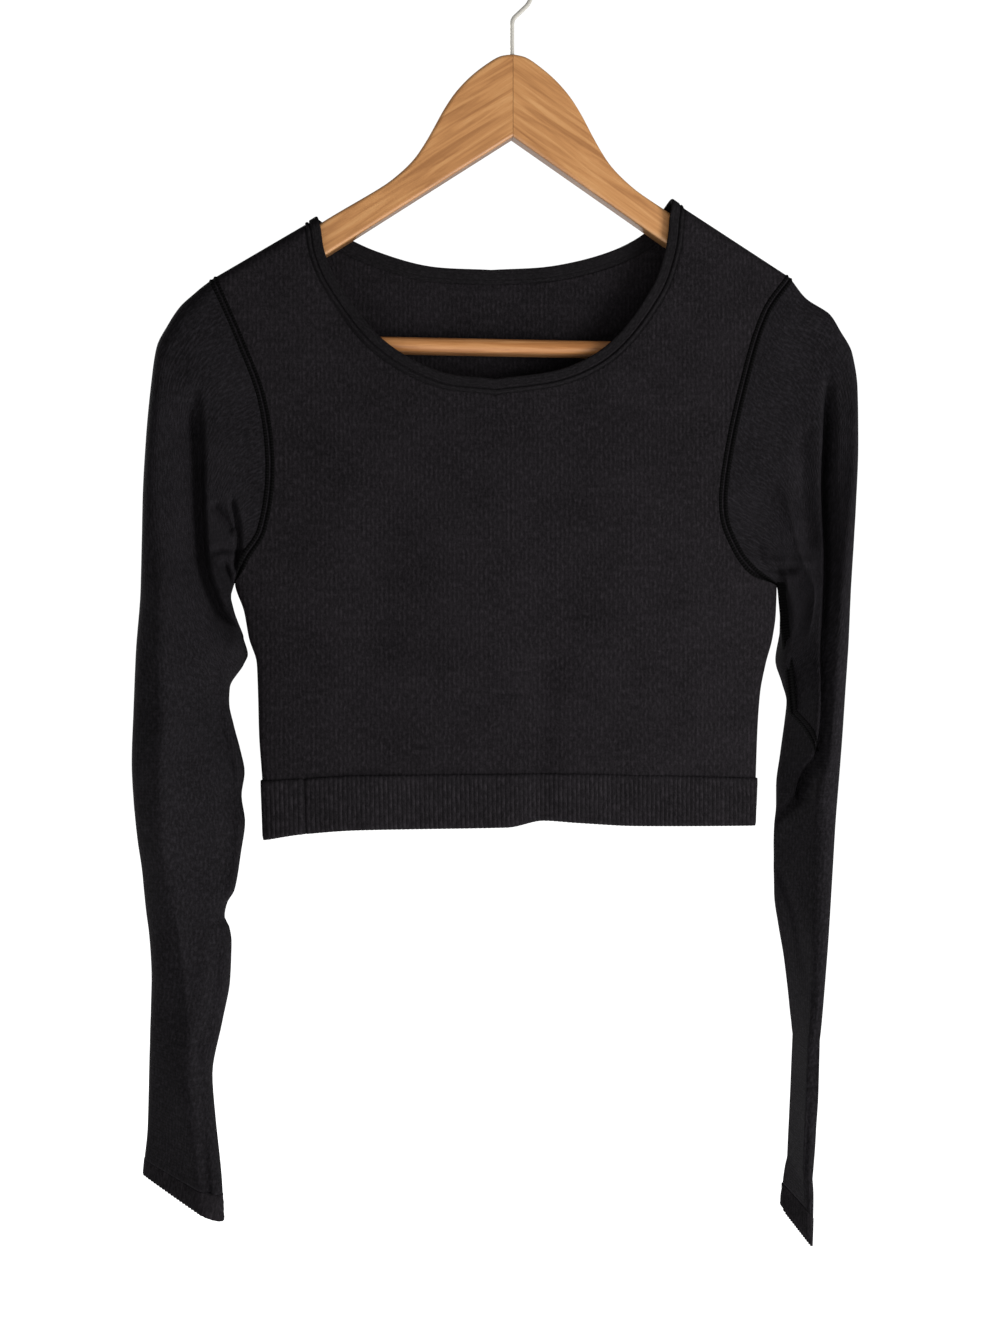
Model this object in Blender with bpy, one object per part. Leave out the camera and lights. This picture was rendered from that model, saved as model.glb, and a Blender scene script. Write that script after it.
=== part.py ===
"""A cropped rib-knit top with long sleeves, hung on a flat wooden hanger.

Metres, +Z up, the front of the top faces -Y, "left" is -X.  The origin is the inner top of
the hanger's hook, where a rail or a peg carries the whole thing.

The knit is modelled as walls.  Each panel or tube is first worked out as its outer skin, from
the tables below, and then given its thickness inwards.  Tables are in millimetres.
"""
import math
from collections import namedtuple

import bmesh
import bpy
from mathutils import Vector

MM = 0.001

# ---- knit --------------------------------------------------------------------------------
WALL = 1.2                # thickness of the knit
SEAM_GAP = 0.4            # between neighbouring pieces
SKIN_GAP = 0.6            # between the knit and a seam strip that lies on it
BINDING_WIDTH = 10.3      # neck binding, from its sewn line to its folded edge
BINDING_THICK = 2.6
SLEEVE_SKIN_GAP = 1.9     # the same, on the sleeve's twisted faces
STRIP_WIDTH = 5.2         # flat stitched seam
STRIP_THICK = 0.9
SLEEVE_STRIP = 4.2        # flat seam along the underarm
CREST_ROUND = 9.0         # how far below the shoulder line the knit turns over the wood
UNDERARM_ROUND = 16.0     # how far up the armhole the knit opens from the side fold
SIDE_POWER = 7.0          # squareness of the body's flattened section
CROWN = 0.20              # how much shallower the body is at its sides than in the middle

Level = namedtuple("Level", "z left right front back")
BODY = [                  # outer faces of the flattened body tube
    Level(-577.0, -159.6, 159.6, 13.0, 12.0),
    Level(-540.0, -161.0, 161.0, 12.5, 11.5),
    Level(-507.0, -163.2, 162.1, 13.5, 12.0),
    Level(-483.0, -163.8, 163.8, 14.0, 12.5),
    Level(-463.0, -164.6, 167.6, 14.5, 13.0),
    Level(-447.0, -169.5, 172.0, 14.5, 13.5),
    Level(-430.0, -172.6, 174.4, 14.5, 13.5),
    Level(-411.0, -178.5, 175.0, 14.5, 13.5),
    Level(-340.0, -178.5, 175.0, 13.5, 12.5),
    Level(-280.0, -178.5, 175.0, 12.5, 11.5),
    Level(-230.0, -178.5, 175.0, 11.0, 10.5),
    Level(-160.0, -178.5, 175.0, 10.0, 10.0),
]

Hem = namedtuple("Hem", "x bottom top")
HEM = [                   # lower edge of the rib band, and where the band meets the body
    Hem(-161.0, -575.6, -538.0),
    Hem(-137.0, -571.8, -536.7),
    Hem(-100.0, -569.4, -534.9),
    Hem(-5.0, -568.5, -534.4),
    Hem(19.0, -564.4, -534.4),
    Hem(42.0, -566.0, -534.6),
    Hem(80.0, -568.3, -535.5),
    Hem(161.0, -569.2, -538.3),
]

Shoulder = namedtuple("Shoulder", "x_neck z_neck slope x_tip")
SHOULDERS = {             # the line where front and back meet on top of the hanger
    "left": Shoulder(-124.0, -175.5, 0.615, -192.6),
    "right": Shoulder(113.0, -164.0, 0.612, 184.3),
}

Hole = namedtuple("Hole", "front back z")
ARMHOLES = {              # x of the seam on the front and on the back, underarm to shoulder
    "left": [
        Hole(-178.5, -178.5, -411.0),
        Hole(-172.0, -173.5, -396.0),
        Hole(-161.5, -166.0, -378.4),
        Hole(-156.1, -162.0, -340.0),
        Hole(-161.1, -166.0, -296.0),
        Hole(-175.0, -177.5, -258.0),
        Hole(-192.6, -192.6, -217.7),
    ],
    "right": [
        Hole(175.0, 175.0, -412.0),
        Hole(159.3, 163.0, -403.6),
        Hole(147.8, 154.0, -390.8),
        Hole(138.0, 146.0, -366.0),
        Hole(140.2, 147.0, -332.0),
        Hole(152.1, 157.0, -277.7),
        Hole(166.5, 169.0, -233.0),
        Hole(184.3, 184.3, -207.6),
    ],
}

Point = namedtuple("Point", "x z")
NECK_CENTRE = -12.0       # the neck hangs a little to the left of the hook
NECK_MIDDLE = -215.0      # height that the folded edge of the binding faces
NECK = {                  # sewn line of the binding, from the middle up to the shoulder
    ("left", "front"): [
        Point(-12.0, -290.4), Point(-52.5, -285.2), Point(-91.8, -263.1),
        Point(-121.0, -226.3), Point(-131.5, -203.0), Point(-134.6, -182.0),
    ],
    ("right", "front"): [
        Point(-12.0, -290.4), Point(35.1, -282.1), Point(69.0, -263.0),
        Point(98.8, -224.5), Point(109.8, -194.4), Point(113.2, -164.2),
    ],
    ("left", "back"): [
        Point(-12.0, -215.4), Point(-55.5, -213.8), Point(-91.5, -204.5),
        Point(-117.0, -193.0), Point(-134.6, -182.0),
    ],
    ("right", "back"): [
        Point(-12.0, -215.4), Point(31.0, -211.5), Point(72.0, -200.0),
        Point(99.0, -184.0), Point(113.2, -164.2),
    ],
}

# A sleeve is a run of flattened rings.  Each ring has an outer end, along the top of the arm,
# and an inner end, along the underarm.  "half" is half its thickness between the two faces,
# and "bow" is how far its middle leans towards the body.
Ring = namedtuple("Ring", "x_out y_out z_out x_in y_in z_in half bow")
SLEEVES = {
    "left": [
        Ring(-202.8, 0.0, -226.1, -180.5, 0.0, -417.0, 12.0, 19.0),
        Ring(-214.0, 0.0, -235.9, -181.5, 0.0, -422.5, 13.0, 14.0),
        Ring(-227.6, -1.0, -262.3, -180.5, 1.0, -429.0, 14.5, 8.0),
        Ring(-232.4, -3.0, -300.0, -177.0, 2.0, -437.0, 16.5, 4.0),
        Ring(-235.8, -8.0, -346.0, -173.0, 5.0, -447.0, 18.5, 1.0),
        Ring(-236.8, -16.0, -400.0, -174.5, 9.0, -460.0, 19.0, 0.0),
        Ring(-239.5, -24.0, -452.0, -181.0, 14.0, -474.0, 18.5, 0.0),
        Ring(-242.2, -27.0, -506.0, -179.5, 17.0, -504.0, 17.0, 0.0),
        Ring(-241.6, -24.0, -550.0, -173.8, 16.0, -548.0, 16.5, 0.0),
        Ring(-236.0, -14.0, -594.0, -176.5, 9.0, -592.0, 16.5, 0.0),
        Ring(-233.6, -5.0, -622.0, -184.8, 3.0, -622.0, 17.0, 0.0),
        Ring(-230.4, 3.0, -660.0, -182.6, -4.0, -660.0, 16.5, 0.0),
        Ring(-231.9, 13.0, -716.0, -192.6, -14.0, -722.0, 14.0, 0.0),
        Ring(-234.2, 22.0, -777.0, -188.6, -24.0, -789.0, 10.5, 0.0),
        Ring(-236.0, 24.0, -792.0, -186.4, -27.0, -812.0, 10.0, 0.0),
    ],
    "right": [
        Ring(198.6, 0.0, -223.5, 180.5, 0.0, -415.5, 12.0, 26.0),
        Ring(214.0, 0.0, -235.0, 181.5, 0.0, -421.5, 13.0, 19.0),
        Ring(228.7, -2.0, -257.5, 181.5, 2.0, -428.5, 14.5, 11.0),
        Ring(231.8, -6.0, -296.0, 181.5, 5.0, -437.0, 16.5, 5.0),
        Ring(230.4, -13.0, -346.0, 181.5, 10.0, -447.0, 18.5, 2.0),
        Ring(226.8, -22.0, -400.0, 181.5, 18.0, -460.0, 18.0, 0.0),
        Ring(222.6, -29.0, -456.0, 184.5, 25.0, -477.0, 15.0, 0.0),
        Ring(219.0, -31.0, -512.0, 184.5, 27.0, -514.0, 13.0, 0.0),
        Ring(215.4, -31.0, -563.0, 179.0, 27.0, -565.0, 12.0, 0.0),
        Ring(211.8, -31.0, -612.0, 178.6, 27.0, -614.0, 10.5, 0.0),
        Ring(208.0, -31.0, -664.0, 188.4, 27.0, -668.0, 8.0, 0.0),
        Ring(203.6, -31.0, -724.0, 191.2, 28.0, -726.0, 6.0, 0.0),
        Ring(201.6, -31.0, -782.0, 189.8, 29.0, -780.0, 5.7, 0.0),
        Ring(200.0, -32.0, -817.0, 186.8, 30.0, -808.0, 6.5, 0.0),
        Ring(199.0, -33.0, -841.0, 185.0, 30.0, -827.0, 6.9, 0.0),
    ],
}
CUFF_START = 0.945        # how far down the rings the rib cuff begins

# Largest folds.  "round" is the place round the ring (0 outer end, 0.25 front, 0.5 inner end),
# "start" and "end" run down the sleeve, "width" is a share of the ring, "depth" is in mm.
Fold = namedtuple("Fold", "side round start end width depth")
FOLDS = [
    Fold("left", 0.12, 0.22, 0.50, 0.035, 3.6),
    Fold("left", 0.36, 0.24, 0.42, 0.050, 4.2),
    Fold("left", 0.40, 0.55, 0.92, 0.040, 2.6),
    Fold("right", 0.12, 0.24, 0.58, 0.035, 4.6),
    Fold("right", 0.37, 0.22, 0.40, 0.045, 3.4),
    Fold("right", 0.36, 0.50, 0.82, 0.040, 2.4),
]

UNDERARM_STEP = {"left": 18, "right": 17}  # step round the ring that the underarm seam follows
UNDERARM_START = {"left": 4, "right": 1}   # ring from which it lies clear of the body
SEAM_STOP = {"front": 3, "back": 4}        # steps from the underarm at which the armhole seam ends

# ---- hanger ------------------------------------------------------------------------------
BOARD_THICK = 12.0
BOARD_EASE = 2.4          # eased arris along the board's outline
WING = [                  # outline of the right half of the board, from the middle of its top
    Point(0.0, -68.0), Point(8.5, -69.8), Point(17.5, -75.4), Point(28.0, -84.0),
    Point(37.5, -94.5), Point(45.0, -106.0), Point(51.5, -118.0), Point(57.5, -128.5),
    Point(64.0, -138.0), Point(72.5, -146.8), Point(84.0, -156.0), Point(118.7, -177.6),
    Point(150.0, -198.6), Point(190.0, -224.6), Point(204.0, -233.5), Point(213.0, -244.0),
    Point(218.5, -256.0), Point(218.0, -266.5), Point(211.0, -272.5), Point(203.0, -268.5),
    Point(195.0, -257.0), Point(186.0, -245.2), Point(0.0, -122.0),
]
JOINT_GAP = 0.3           # between the two halves of the board
BAR_RADIUS = 5.7
BAR_CENTRE = -257.9
BAR_END = 209.0
HOOK_RADIUS = 1.4         # half the wire's thickness
HOOK_INNER = 18.1         # inner radius of the hook's round
HOOK_STEM_END = -84.0     # how deep the stem sits in the wood
HOOK_LEAN = 48.0          # degrees the wire leaves the stem by
HOOK_END = 196.0          # degrees round the hook at which the wire ends
HOOK_BEND = 8.0           # radius of the bend above the stem
HOOK_TURN = 40.0          # degrees the hook is turned out of the board's plane
SOCKET_GAP = 0.3


# ---- helpers: curves and tables ----------------------------------------------------------
def spline(values, keys, at):
    """A smooth curve through values at rising keys, read at one place."""
    last = len(keys) - 1
    at = min(max(at, keys[0]), keys[last])
    i = 0
    while i < last - 1 and at > keys[i + 1]:
        i += 1

    def slope(k):
        if k in (0, last):
            a, b = (0, 1) if k == 0 else (last - 1, last)
            return (values[b] - values[a]) / (keys[b] - keys[a])
        before = (values[k] - values[k - 1]) / (keys[k] - keys[k - 1])
        after = (values[k + 1] - values[k]) / (keys[k + 1] - keys[k])
        if before * after <= 0:
            return 0.0
        return 2 * before * after / (before + after)

    span = keys[i + 1] - keys[i]
    t = (at - keys[i]) / span
    start = values[i] * (1 + 2 * t) * (1 - t) ** 2 + slope(i) * span * t * (1 - t) ** 2
    end = values[i + 1] * t * t * (3 - 2 * t) + slope(i + 1) * span * t * t * (t - 1)
    return start + end


def read(table, column, key, at):
    """One column of a table, read smoothly at a value of its key column."""
    return spline([getattr(row, column) for row in table], [getattr(row, key) for row in table], at)


def path(points, share):
    """The place at a share of the way along a smooth line through points."""
    keys = [0.0]
    for a, b in zip(points, points[1:]):
        keys.append(keys[-1] + math.dist(a, b))
    at = share * keys[-1]
    return tuple(catmull([p[axis] for p in points], keys, at) for axis in range(len(points[0])))


def catmull(values, keys, at):
    """Like spline, but free to swing past its values, as round outlines need."""
    last = len(keys) - 1
    i = 0
    while i < last - 1 and at > keys[i + 1]:
        i += 1

    def slope(k):
        a, b = max(k - 1, 0), min(k + 1, last)
        return (values[b] - values[a]) / (keys[b] - keys[a])

    span = keys[i + 1] - keys[i]
    t = (at - keys[i]) / span
    start = values[i] * (1 + 2 * t) * (1 - t) ** 2 + slope(i) * span * t * (1 - t) ** 2
    end = values[i + 1] * t * t * (3 - 2 * t) + slope(i + 1) * span * t * t * (t - 1)
    return start + end


def mix(a, b, share):
    return a + (b - a) * share


def ease(share):
    share = min(max(share, 0.0), 1.0)
    return share * share * (3 - 2 * share)


# ---- helpers: the garment's own form -----------------------------------------------------
def crest(x):
    """Height of the shoulder line at x."""
    row = SHOULDERS["left" if x < NECK_CENTRE else "right"]
    return row.z_neck - row.slope * max(0.0, abs(x) - abs(row.x_neck))


def over_crest(x, z):
    """How far the knit has come away from the middle plane, below the shoulder line."""
    drop = min(max(crest(x) - z, 0.0) / CREST_ROUND, 1.0)
    return math.sqrt(1 - (1 - drop) ** 2)


def depth(face, x, z, across, opening):
    """Distance of the skin from the middle plane: across is 0 in the middle, 1 at the edge."""
    full = read(BODY, face, "z", z) * (1 - CROWN * across ** 2)
    side = max(0.0, 1 - across ** SIDE_POWER) ** (1 / SIDE_POWER)
    return full * mix(side, 1.0, opening) * over_crest(x, z) + SEAM_GAP / 2


def skin(face, x, z, across, opening):
    y = depth(face, x, z, across, opening)
    return Vector((x, -y if face == "front" else y, z))


def armhole(side, face, share):
    """A point of the armhole seam, from the underarm (0) to the shoulder (1)."""
    column = 0 if face == "front" else 1
    x, z = path([(row[column], row.z) for row in ARMHOLES[side]], share)
    underarm = ARMHOLES[side][0].z
    rise = min(max(z - underarm, 0.0) / UNDERARM_ROUND, 1.0)
    opening = math.sqrt(1 - (1 - rise) ** 2)
    return x, z, opening


def neck_line(side, face, share):
    return path(NECK[(side, face)], share)


# ---- helpers: meshes ---------------------------------------------------------------------
def material(name, rgb, roughness, metallic=0.0):
    made = bpy.data.materials.new(name)
    made.use_nodes = True
    surface = made.node_tree.nodes["Principled BSDF"]
    surface.inputs["Base Color"].default_value = (*rgb, 1.0)
    surface.inputs["Roughness"].default_value = roughness
    surface.inputs["Metallic"].default_value = metallic
    made.diffuse_color = (*rgb, 1.0)
    return made


def add_object(name, mesh, finish):
    made = bpy.data.objects.new(name, mesh)
    bpy.context.collection.objects.link(made)
    mesh.materials.append(finish)
    mesh.shade_smooth()
    mesh.set_sharp_from_angle(angle=math.radians(40))
    return made


def normals_of(points, faces):
    """Smooth normals of a skin, from the faces round each point."""
    sums = [Vector((0, 0, 0)) for _ in points]
    for face in faces:
        corner = [points[i] for i in face]
        area = (corner[2] - corner[0]).cross(corner[3] - corner[1])
        for i in face:
            sums[i] += area
    return [total.normalized() for total in sums]


def thickened(name, points, faces, normals, bottom, top, finish):
    """A closed solid between two offsets of a skin, with walls round its open edges."""
    count = len(points)
    vertices = [p + n * top for p, n in zip(points, normals)]
    vertices += [p + n * bottom for p, n in zip(points, normals)]
    edges = {}
    for face in faces:
        for a, b in zip(face, face[1:] + face[:1]):
            edges[(a, b)] = True
    polygons = [tuple(face) for face in faces]
    polygons += [tuple(i + count for i in reversed(face)) for face in faces]
    for a, b in edges:
        if (b, a) not in edges:
            polygons.append((b, a, a + count, b + count))
    mesh = bpy.data.meshes.new(name)
    mesh.from_pydata([v * MM for v in vertices], [], polygons)
    mesh.validate()
    return add_object(name, mesh, finish)


def without(normal, *axes):
    """A normal turned square to some directions, so that a seam keeps its gap."""
    for axis in axes:
        normal = normal - axis * normal.dot(axis)
    return normal.normalized()


DEPTH = Vector((0, 1, 0))
UP = Vector((0, 0, 1))

COLUMNS = 8               # steps across half a panel
LOWER_ROWS = 4            # rib band to underarm
END_STEPS = 3             # steps round a quarter of a ring's rounded end
FACE_STEPS = 12           # steps along each flat face of a ring
NECK_STEP = {"front": 9, "back": 11}  # armhole step at which the neck begins


def length_of(points):
    return sum(math.dist(a, b) for a, b in zip(points, points[1:]))


def armhole_shares(side):
    """Steps up the armhole: round the underarm, along the face, then over the shoulder."""
    length = length_of([(row.front, row.z) for row in ARMHOLES[side]])
    turns = [(1 - math.cos(math.pi / 2 * step / END_STEPS)) for step in range(END_STEPS + 1)]
    low = [UNDERARM_ROUND / length * turn for turn in turns]
    high = [1 - CREST_ROUND / length * turn for turn in reversed(turns)]
    face = [mix(low[-1], high[0], step / FACE_STEPS) for step in range(1, FACE_STEPS)]
    return low + face + high


def panel_rows(side, face):
    """Ends of each row of half a panel: (inner x, inner z, outer x, outer z, opening)."""
    neck = NECK[(side, face)]
    underarm = ARMHOLES[side][0]
    rows = []
    for j in range(LOWER_ROWS):
        share = j / LOWER_ROWS
        inner = mix(read(HEM, "top", "x", 0.0) + SEAM_GAP / 2, underarm.z, share)
        outer = mix(read(HEM, "top", "x", underarm.front) + SEAM_GAP / 2, underarm.z, share)
        rows.append((NECK_CENTRE * share / 2, inner, read(BODY, side, "z", outer), outer, 0.0))
    shares = armhole_shares(side)
    begin = NECK_STEP[face]
    over = len(shares) - 1 - END_STEPS
    length = length_of(neck)
    for j, share in enumerate(shares):
        if j <= begin:
            up = j / begin
            inner = (NECK_CENTRE * (1 + up) / 2, mix(underarm.z, neck[0].z, up))
        elif j <= over:
            inner = neck_line(side, face, (j - begin) / (over - begin) * (1 - CREST_ROUND / length))
        else:
            turn = 1 - math.cos(math.pi / 2 * (len(shares) - 1 - j) / END_STEPS)
            inner = neck_line(side, face, 1 - CREST_ROUND / length * turn)
        rows.append((*inner, *armhole(side, face, share)))
    return rows


def panel_point(side, face, rows, i, j):
    """Point of a panel's skin, i steps out from its inner edge on row j."""
    inner_x, inner_z, outer_x, outer_z, opening = rows[j]
    above = ease((j - LOWER_ROWS) / 3)
    across = mix(math.sin(math.pi / 2 * i / COLUMNS), i / COLUMNS, above)
    x = mix(inner_x, outer_x, across)
    z = mix(inner_z, outer_z, across)
    if j == 0:
        z = read(HEM, "top", "x", x) + SEAM_GAP / 2
    from_middle = min(1.0, abs(mix(inner_x / outer_x, 1.0, across)))
    return skin(face, x, z, from_middle, opening)


def panel(name, face, finish):
    """The front or the back: two halves that share the middle line below the neck."""
    points, index, faces = [], {}, []
    neck_row = LOWER_ROWS + NECK_STEP[face]
    for side in ("left", "right"):
        rows = panel_rows(side, face)
        for j in range(len(rows)):
            for i in range(COLUMNS + 1):
                key = ("both" if i == 0 and j <= neck_row else side, i, j)
                if key not in index:
                    index[key] = len(points)
                    points.append(panel_point(side, face, rows, i, j))
                index[(side, i, j)] = index[key]
        turned = (side == "left") == (face == "front")
        for j in range(len(rows) - 1):
            for i in range(COLUMNS):
                corners = ((i, j), (i, j + 1), (i + 1, j + 1), (i + 1, j))
                quad = [index[(side, a, b)] for a, b in corners]
                faces.append(quad if turned else quad[::-1])
    normals = normals_of(points, faces)
    top = len(rows) - 1
    for side in ("left", "right"):
        for j in range(LOWER_ROWS):
            k = index[(side, COLUMNS, j)]
            normals[k] = without(normals[k], DEPTH)
        for i in range(COLUMNS + 1):
            k = index[(side, i, 0)]
            normals[k] = without(normals[k], UP)
            k = index[(side, i, top)]
            normals[k] = without(normals[k], DEPTH)
        seam = [frame[2] for frame in armhole_frames(side)]
        last = LOWER_ROWS + len(armhole_shares(side)) - 1
        for step in range(last - LOWER_ROWS + 1):
            j = last - step
            normals[index[(side, COLUMNS, j)]] = seam[step if face == "front" else -step]
    for i in range(top - neck_row + 1):
        for side in ("left", "right"):
            k = index[(side, 0, neck_row + i)]
            normals[k] = neck_normal(points[k])
    return thickened(name, points, faces, normals, -WALL, 0.0, finish)


# ---- sleeves -----------------------------------------------------------------------------
def ring_places():
    """Places round a ring as (along, away): along 1 is the outer end, away is the share of
    the ring's half thickness, with the rounded ends worked out for the ring's own size."""
    places = []
    for half_turn in (0, 1):
        for step in range(END_STEPS + 1):
            places.append(("end", half_turn, step / END_STEPS * math.pi / 2, "out"))
        for step in range(1, FACE_STEPS):
            places.append(("face", half_turn, step / FACE_STEPS, ""))
        for step in range(END_STEPS + 1):
            places.append(("end", half_turn, (1 - step / END_STEPS) * math.pi / 2, "in"))
    front = places[:len(places) // 2]
    back = places[len(places) // 2:]
    return front + [p for p in reversed(back)][1:-1]


def ring_offsets(place, length, half):
    """(along, away) in mm for one place on a ring of a given half length and half thickness."""
    kind, back, value, end = place
    sign = 1.0 if back else -1.0
    reach = min(half, length)
    if kind == "face":
        return (length - reach) * (1 - 2 * value), sign * half
    along = length - reach + reach * math.cos(value)
    return (along if end == "out" else -along), sign * half * math.sin(value)


def sleeve_row(side, v):
    """The table's row at a share v of the way down, read smoothly."""
    rows = SLEEVES[side]
    keys = list(range(len(rows)))
    at = v * (len(rows) - 1)
    return Ring(*(spline([row[c] for row in rows], keys, at) for c in range(len(Ring._fields))))


def sleeve_point(side, place, v):
    """A point of the sleeve's skin: v = 0 is the first ring, 1 the edge of the cuff."""
    row = sleeve_row(side, v)
    outer = Vector((row.x_out, row.y_out, row.z_out))
    inner = Vector((row.x_in, row.y_in, row.z_in))
    middle = (outer + inner) / 2
    reach = (outer - inner) / 2
    turn = 1.0 if side == "left" else -1.0
    run = Vector((-reach.z, 0, reach.x)) * turn
    run.normalize()
    away = run.cross(reach).normalized()
    if away.y < 0:
        away = -away
    flat = Vector((reach.x, 0, reach.z))
    spread = abs(away.dot(flat.normalized())) * row.half
    shrink = math.sqrt(max(flat.length ** 2 - spread ** 2, 0.0)) / flat.length
    reach = Vector((reach.x * shrink, reach.y, reach.z * shrink))
    along, off = ring_offsets(place, reach.length, row.half)
    point = middle + reach.normalized() * along + away * off
    point -= run * row.bow * max(0.0, 1 - (along / reach.length) ** 2)
    if off:
        point += away * math.copysign(fold_depth(side, place, v), -off)
    return point


def place_share(place):
    """Where a place lies round the ring: 0 outer end, 0.25 front, 0.5 inner end."""
    kind, back, value, end = place
    if kind == "face":
        share = 0.08 + 0.34 * value
    else:
        share = value / (math.pi / 2) * 0.08
        share = share if end == "out" else 0.5 - share
    return 1 - share if back else share


def fold_depth(side, place, v):
    """How far the largest folds push the skin inwards at a place."""
    total = 0.0
    for fold in FOLDS:
        if fold.side != side or not fold.start < v < fold.end:
            continue
        length = math.sin(math.pi * (v - fold.start) / (fold.end - fold.start))
        offset = (place_share(place) - fold.round) / fold.width
        total += fold.depth * length * math.exp(-offset * offset)
    return total


def armhole_ring(side):
    """The armhole seam as a ring of points, in the same order as a sleeve's rings."""
    shares = armhole_shares(side)
    points = []
    for face, steps in (("front", shares[::-1]), ("back", shares[1:-1])):
        for share in steps:
            x, z, opening = armhole(side, face, share)
            points.append(skin(face, x, z, 1.0, opening))
    return points


SLEEVE_ROWS = 12          # steps down a sleeve, armhole to cuff
SLEEVE_GAP = 0.0009       # gap above the cuff, as a share of the sleeve


def sleeve_grid(side, start, end, rows, with_armhole):
    grid = []
    if with_armhole:
        grid.append([frame[0] + frame[1] * SEAM_GAP for frame in armhole_frames(side)])
    for j in range(rows + 1):
        v = mix(start, end, j / rows)
        grid.append([sleeve_point(side, place, v) for place in ring_places()])
    return grid


def tube(name, grid, turned, finish, first_normals=()):
    """A wall round a run of rings, open at both ends."""
    across = len(grid[0])
    points = [p for ring in grid for p in ring]
    faces = []
    for j in range(len(grid) - 1):
        for i in range(across):
            k = (i + 1) % across
            quad = [j * across + i, j * across + k, (j + 1) * across + k, (j + 1) * across + i]
            faces.append(quad[::-1] if turned else quad)
    normals = normals_of(points, faces)
    normals[:len(first_normals)] = first_normals
    return thickened(name, points, faces, normals, -WALL, 0.0, finish)


def sleeve(side, finish):
    seam = [frame[2] for frame in armhole_frames(side)]
    grid = sleeve_grid(side, 0.0, CUFF_START - SLEEVE_GAP, SLEEVE_ROWS, True)
    return tube("sleeve_" + side, grid, side == "left", finish, seam)


def cuff(side, finish):
    grid = sleeve_grid(side, CUFF_START + SLEEVE_GAP, 1.0, 1, False)
    return tube("cuff_" + side, grid, side == "left", finish)


def strip(name, lines, gap, finish):
    """A low flat seam on a skin: lines are the points of its edges and middle, with normals."""
    points = [p for line in lines for p, _ in line]
    normals = [n for line in lines for _, n in line]
    count = len(lines[0])
    faces = []
    for row in range(len(lines) - 1):
        for i in range(row * count, row * count + count - 1):
            faces.append([i, i + 1, i + 1 + count, i + count])
    if sum(a.dot(b) for a, b in zip(normals_of(points, faces), normals)) < 0:
        faces = [face[::-1] for face in faces]
    return thickened(name, points, faces, normals, gap, gap + STRIP_THICK, finish)


def edge_normals(side):
    """Normals of the panels and of the sleeve where they meet, before they are matched."""
    ring = armhole_ring(side)
    top = len(armhole_shares(side)) - 1
    panels, beside = [], []
    for face in ("front", "back"):
        rows = panel_rows(side, face)
        points, faces = [], []
        for j in range(LOWER_ROWS - 1, len(rows)):
            points += [panel_point(side, face, rows, i, j) for i in (COLUMNS - 1, COLUMNS)]
        for k in range(0, len(points) - 2, 2):
            faces.append([k, k + 2, k + 3, k + 1])
        turn = 1 if (side == "left") == (face == "back") else -1
        panels.append([n * turn for n in normals_of(points, faces)[3::2]])
        beside.append(points[2::2])
    body = panels[0][::-1] + panels[1][1:-1]
    beside = beside[0][::-1] + beside[1][1:-1]
    beside[top] = ring[top] - UP
    body[top] = (panels[0][0] + panels[1][0]).normalized()
    body[0] = (panels[0][-1] + panels[1][-1]).normalized()
    first = [sleeve_point(side, place, 0.0) for place in ring_places()]
    count = len(ring)
    faces = [[i, (i + 1) % count, count + (i + 1) % count, count + i] for i in range(count)]
    arm = normals_of(ring + first, faces)[:count]
    if side == "left":
        arm = [-n for n in arm]
    return ring, first, body, arm, beside


def armhole_frames(side):
    """Round the armhole: its points, the way onto the sleeve, the seam's shared normal, and
    the ways along the panel's skin and along the sleeve's skin."""
    ring, first, body, arm, beside = edge_normals(side)
    frames = []
    for i, point in enumerate(ring):
        along = (ring[(i + 1) % len(ring)] - ring[i - 1]).normalized()
        outer = along.cross(arm[i]).normalized()
        if outer.dot(first[i] - point) < 0:
            outer = -outer
        inner = along.cross(body[i]).normalized()
        if inner.dot(beside[i] - point) < 0:
            inner = -inner
        across = outer - inner
        across = (across - along * across.dot(along)).normalized()
        normal = across.cross(along) if side == "left" else along.cross(across)
        frames.append((point, across, normal.normalized(), inner, outer))
    return frames


def armhole_seam(side, finish):
    """The flat seam round the armhole, half on the panels and half on the sleeve.  It stops
    short of the underarm, where the body and the sleeve close on each other."""
    frames = armhole_frames(side)
    low = len(armhole_shares(side)) - 1
    frames = frames[low + SEAM_STOP["back"]:] + frames[:low - SEAM_STOP["front"] + 1]
    lines = ([], [], [])
    for point, across, normal, inner, outer in frames:
        for line, way in zip(lines, (inner, None, outer)):
            line.append((point + way * STRIP_WIDTH / 2 if way else point, normal))
    return strip("armhole_seam_" + side, lines, SKIN_GAP, finish)


def sleeve_seam(side, finish):
    """The flat seam along the underarm, on the sleeve's own skin."""
    grid = sleeve_grid(side, 0.0, CUFF_START - SLEEVE_GAP, SLEEVE_ROWS, False)
    lines = ([], [], [])
    step = UNDERARM_STEP[side]
    for j, ring in enumerate(grid):
        middle = ring[step]
        below = grid[min(j + 1, SLEEVE_ROWS)][step] - grid[max(j - 1, 0)][step]
        normal = below.cross(ring[step + 1] - ring[step - 1]).normalized()
        centre = sum(ring, Vector((0, 0, 0))) / len(ring)
        if normal.dot(middle - centre) < 0:
            normal = -normal
        for line, other in zip(lines, (ring[step - 1], middle, ring[step + 1])):
            reach = other - middle
            size = min(SLEEVE_STRIP / 2, reach.length * 0.9)
            line.append((middle + (reach.normalized() * size if reach.length else reach), normal))
    lines = [line[UNDERARM_START[side]:] for line in lines]
    return strip("sleeve_seam_" + side, lines, SLEEVE_SKIN_GAP, finish)


# ---- hem band and neck binding -----------------------------------------------------------
HEM_STEPS = 14            # steps across one face of the hem band
HEM_REACH = 160.3         # half the width of the band


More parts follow.
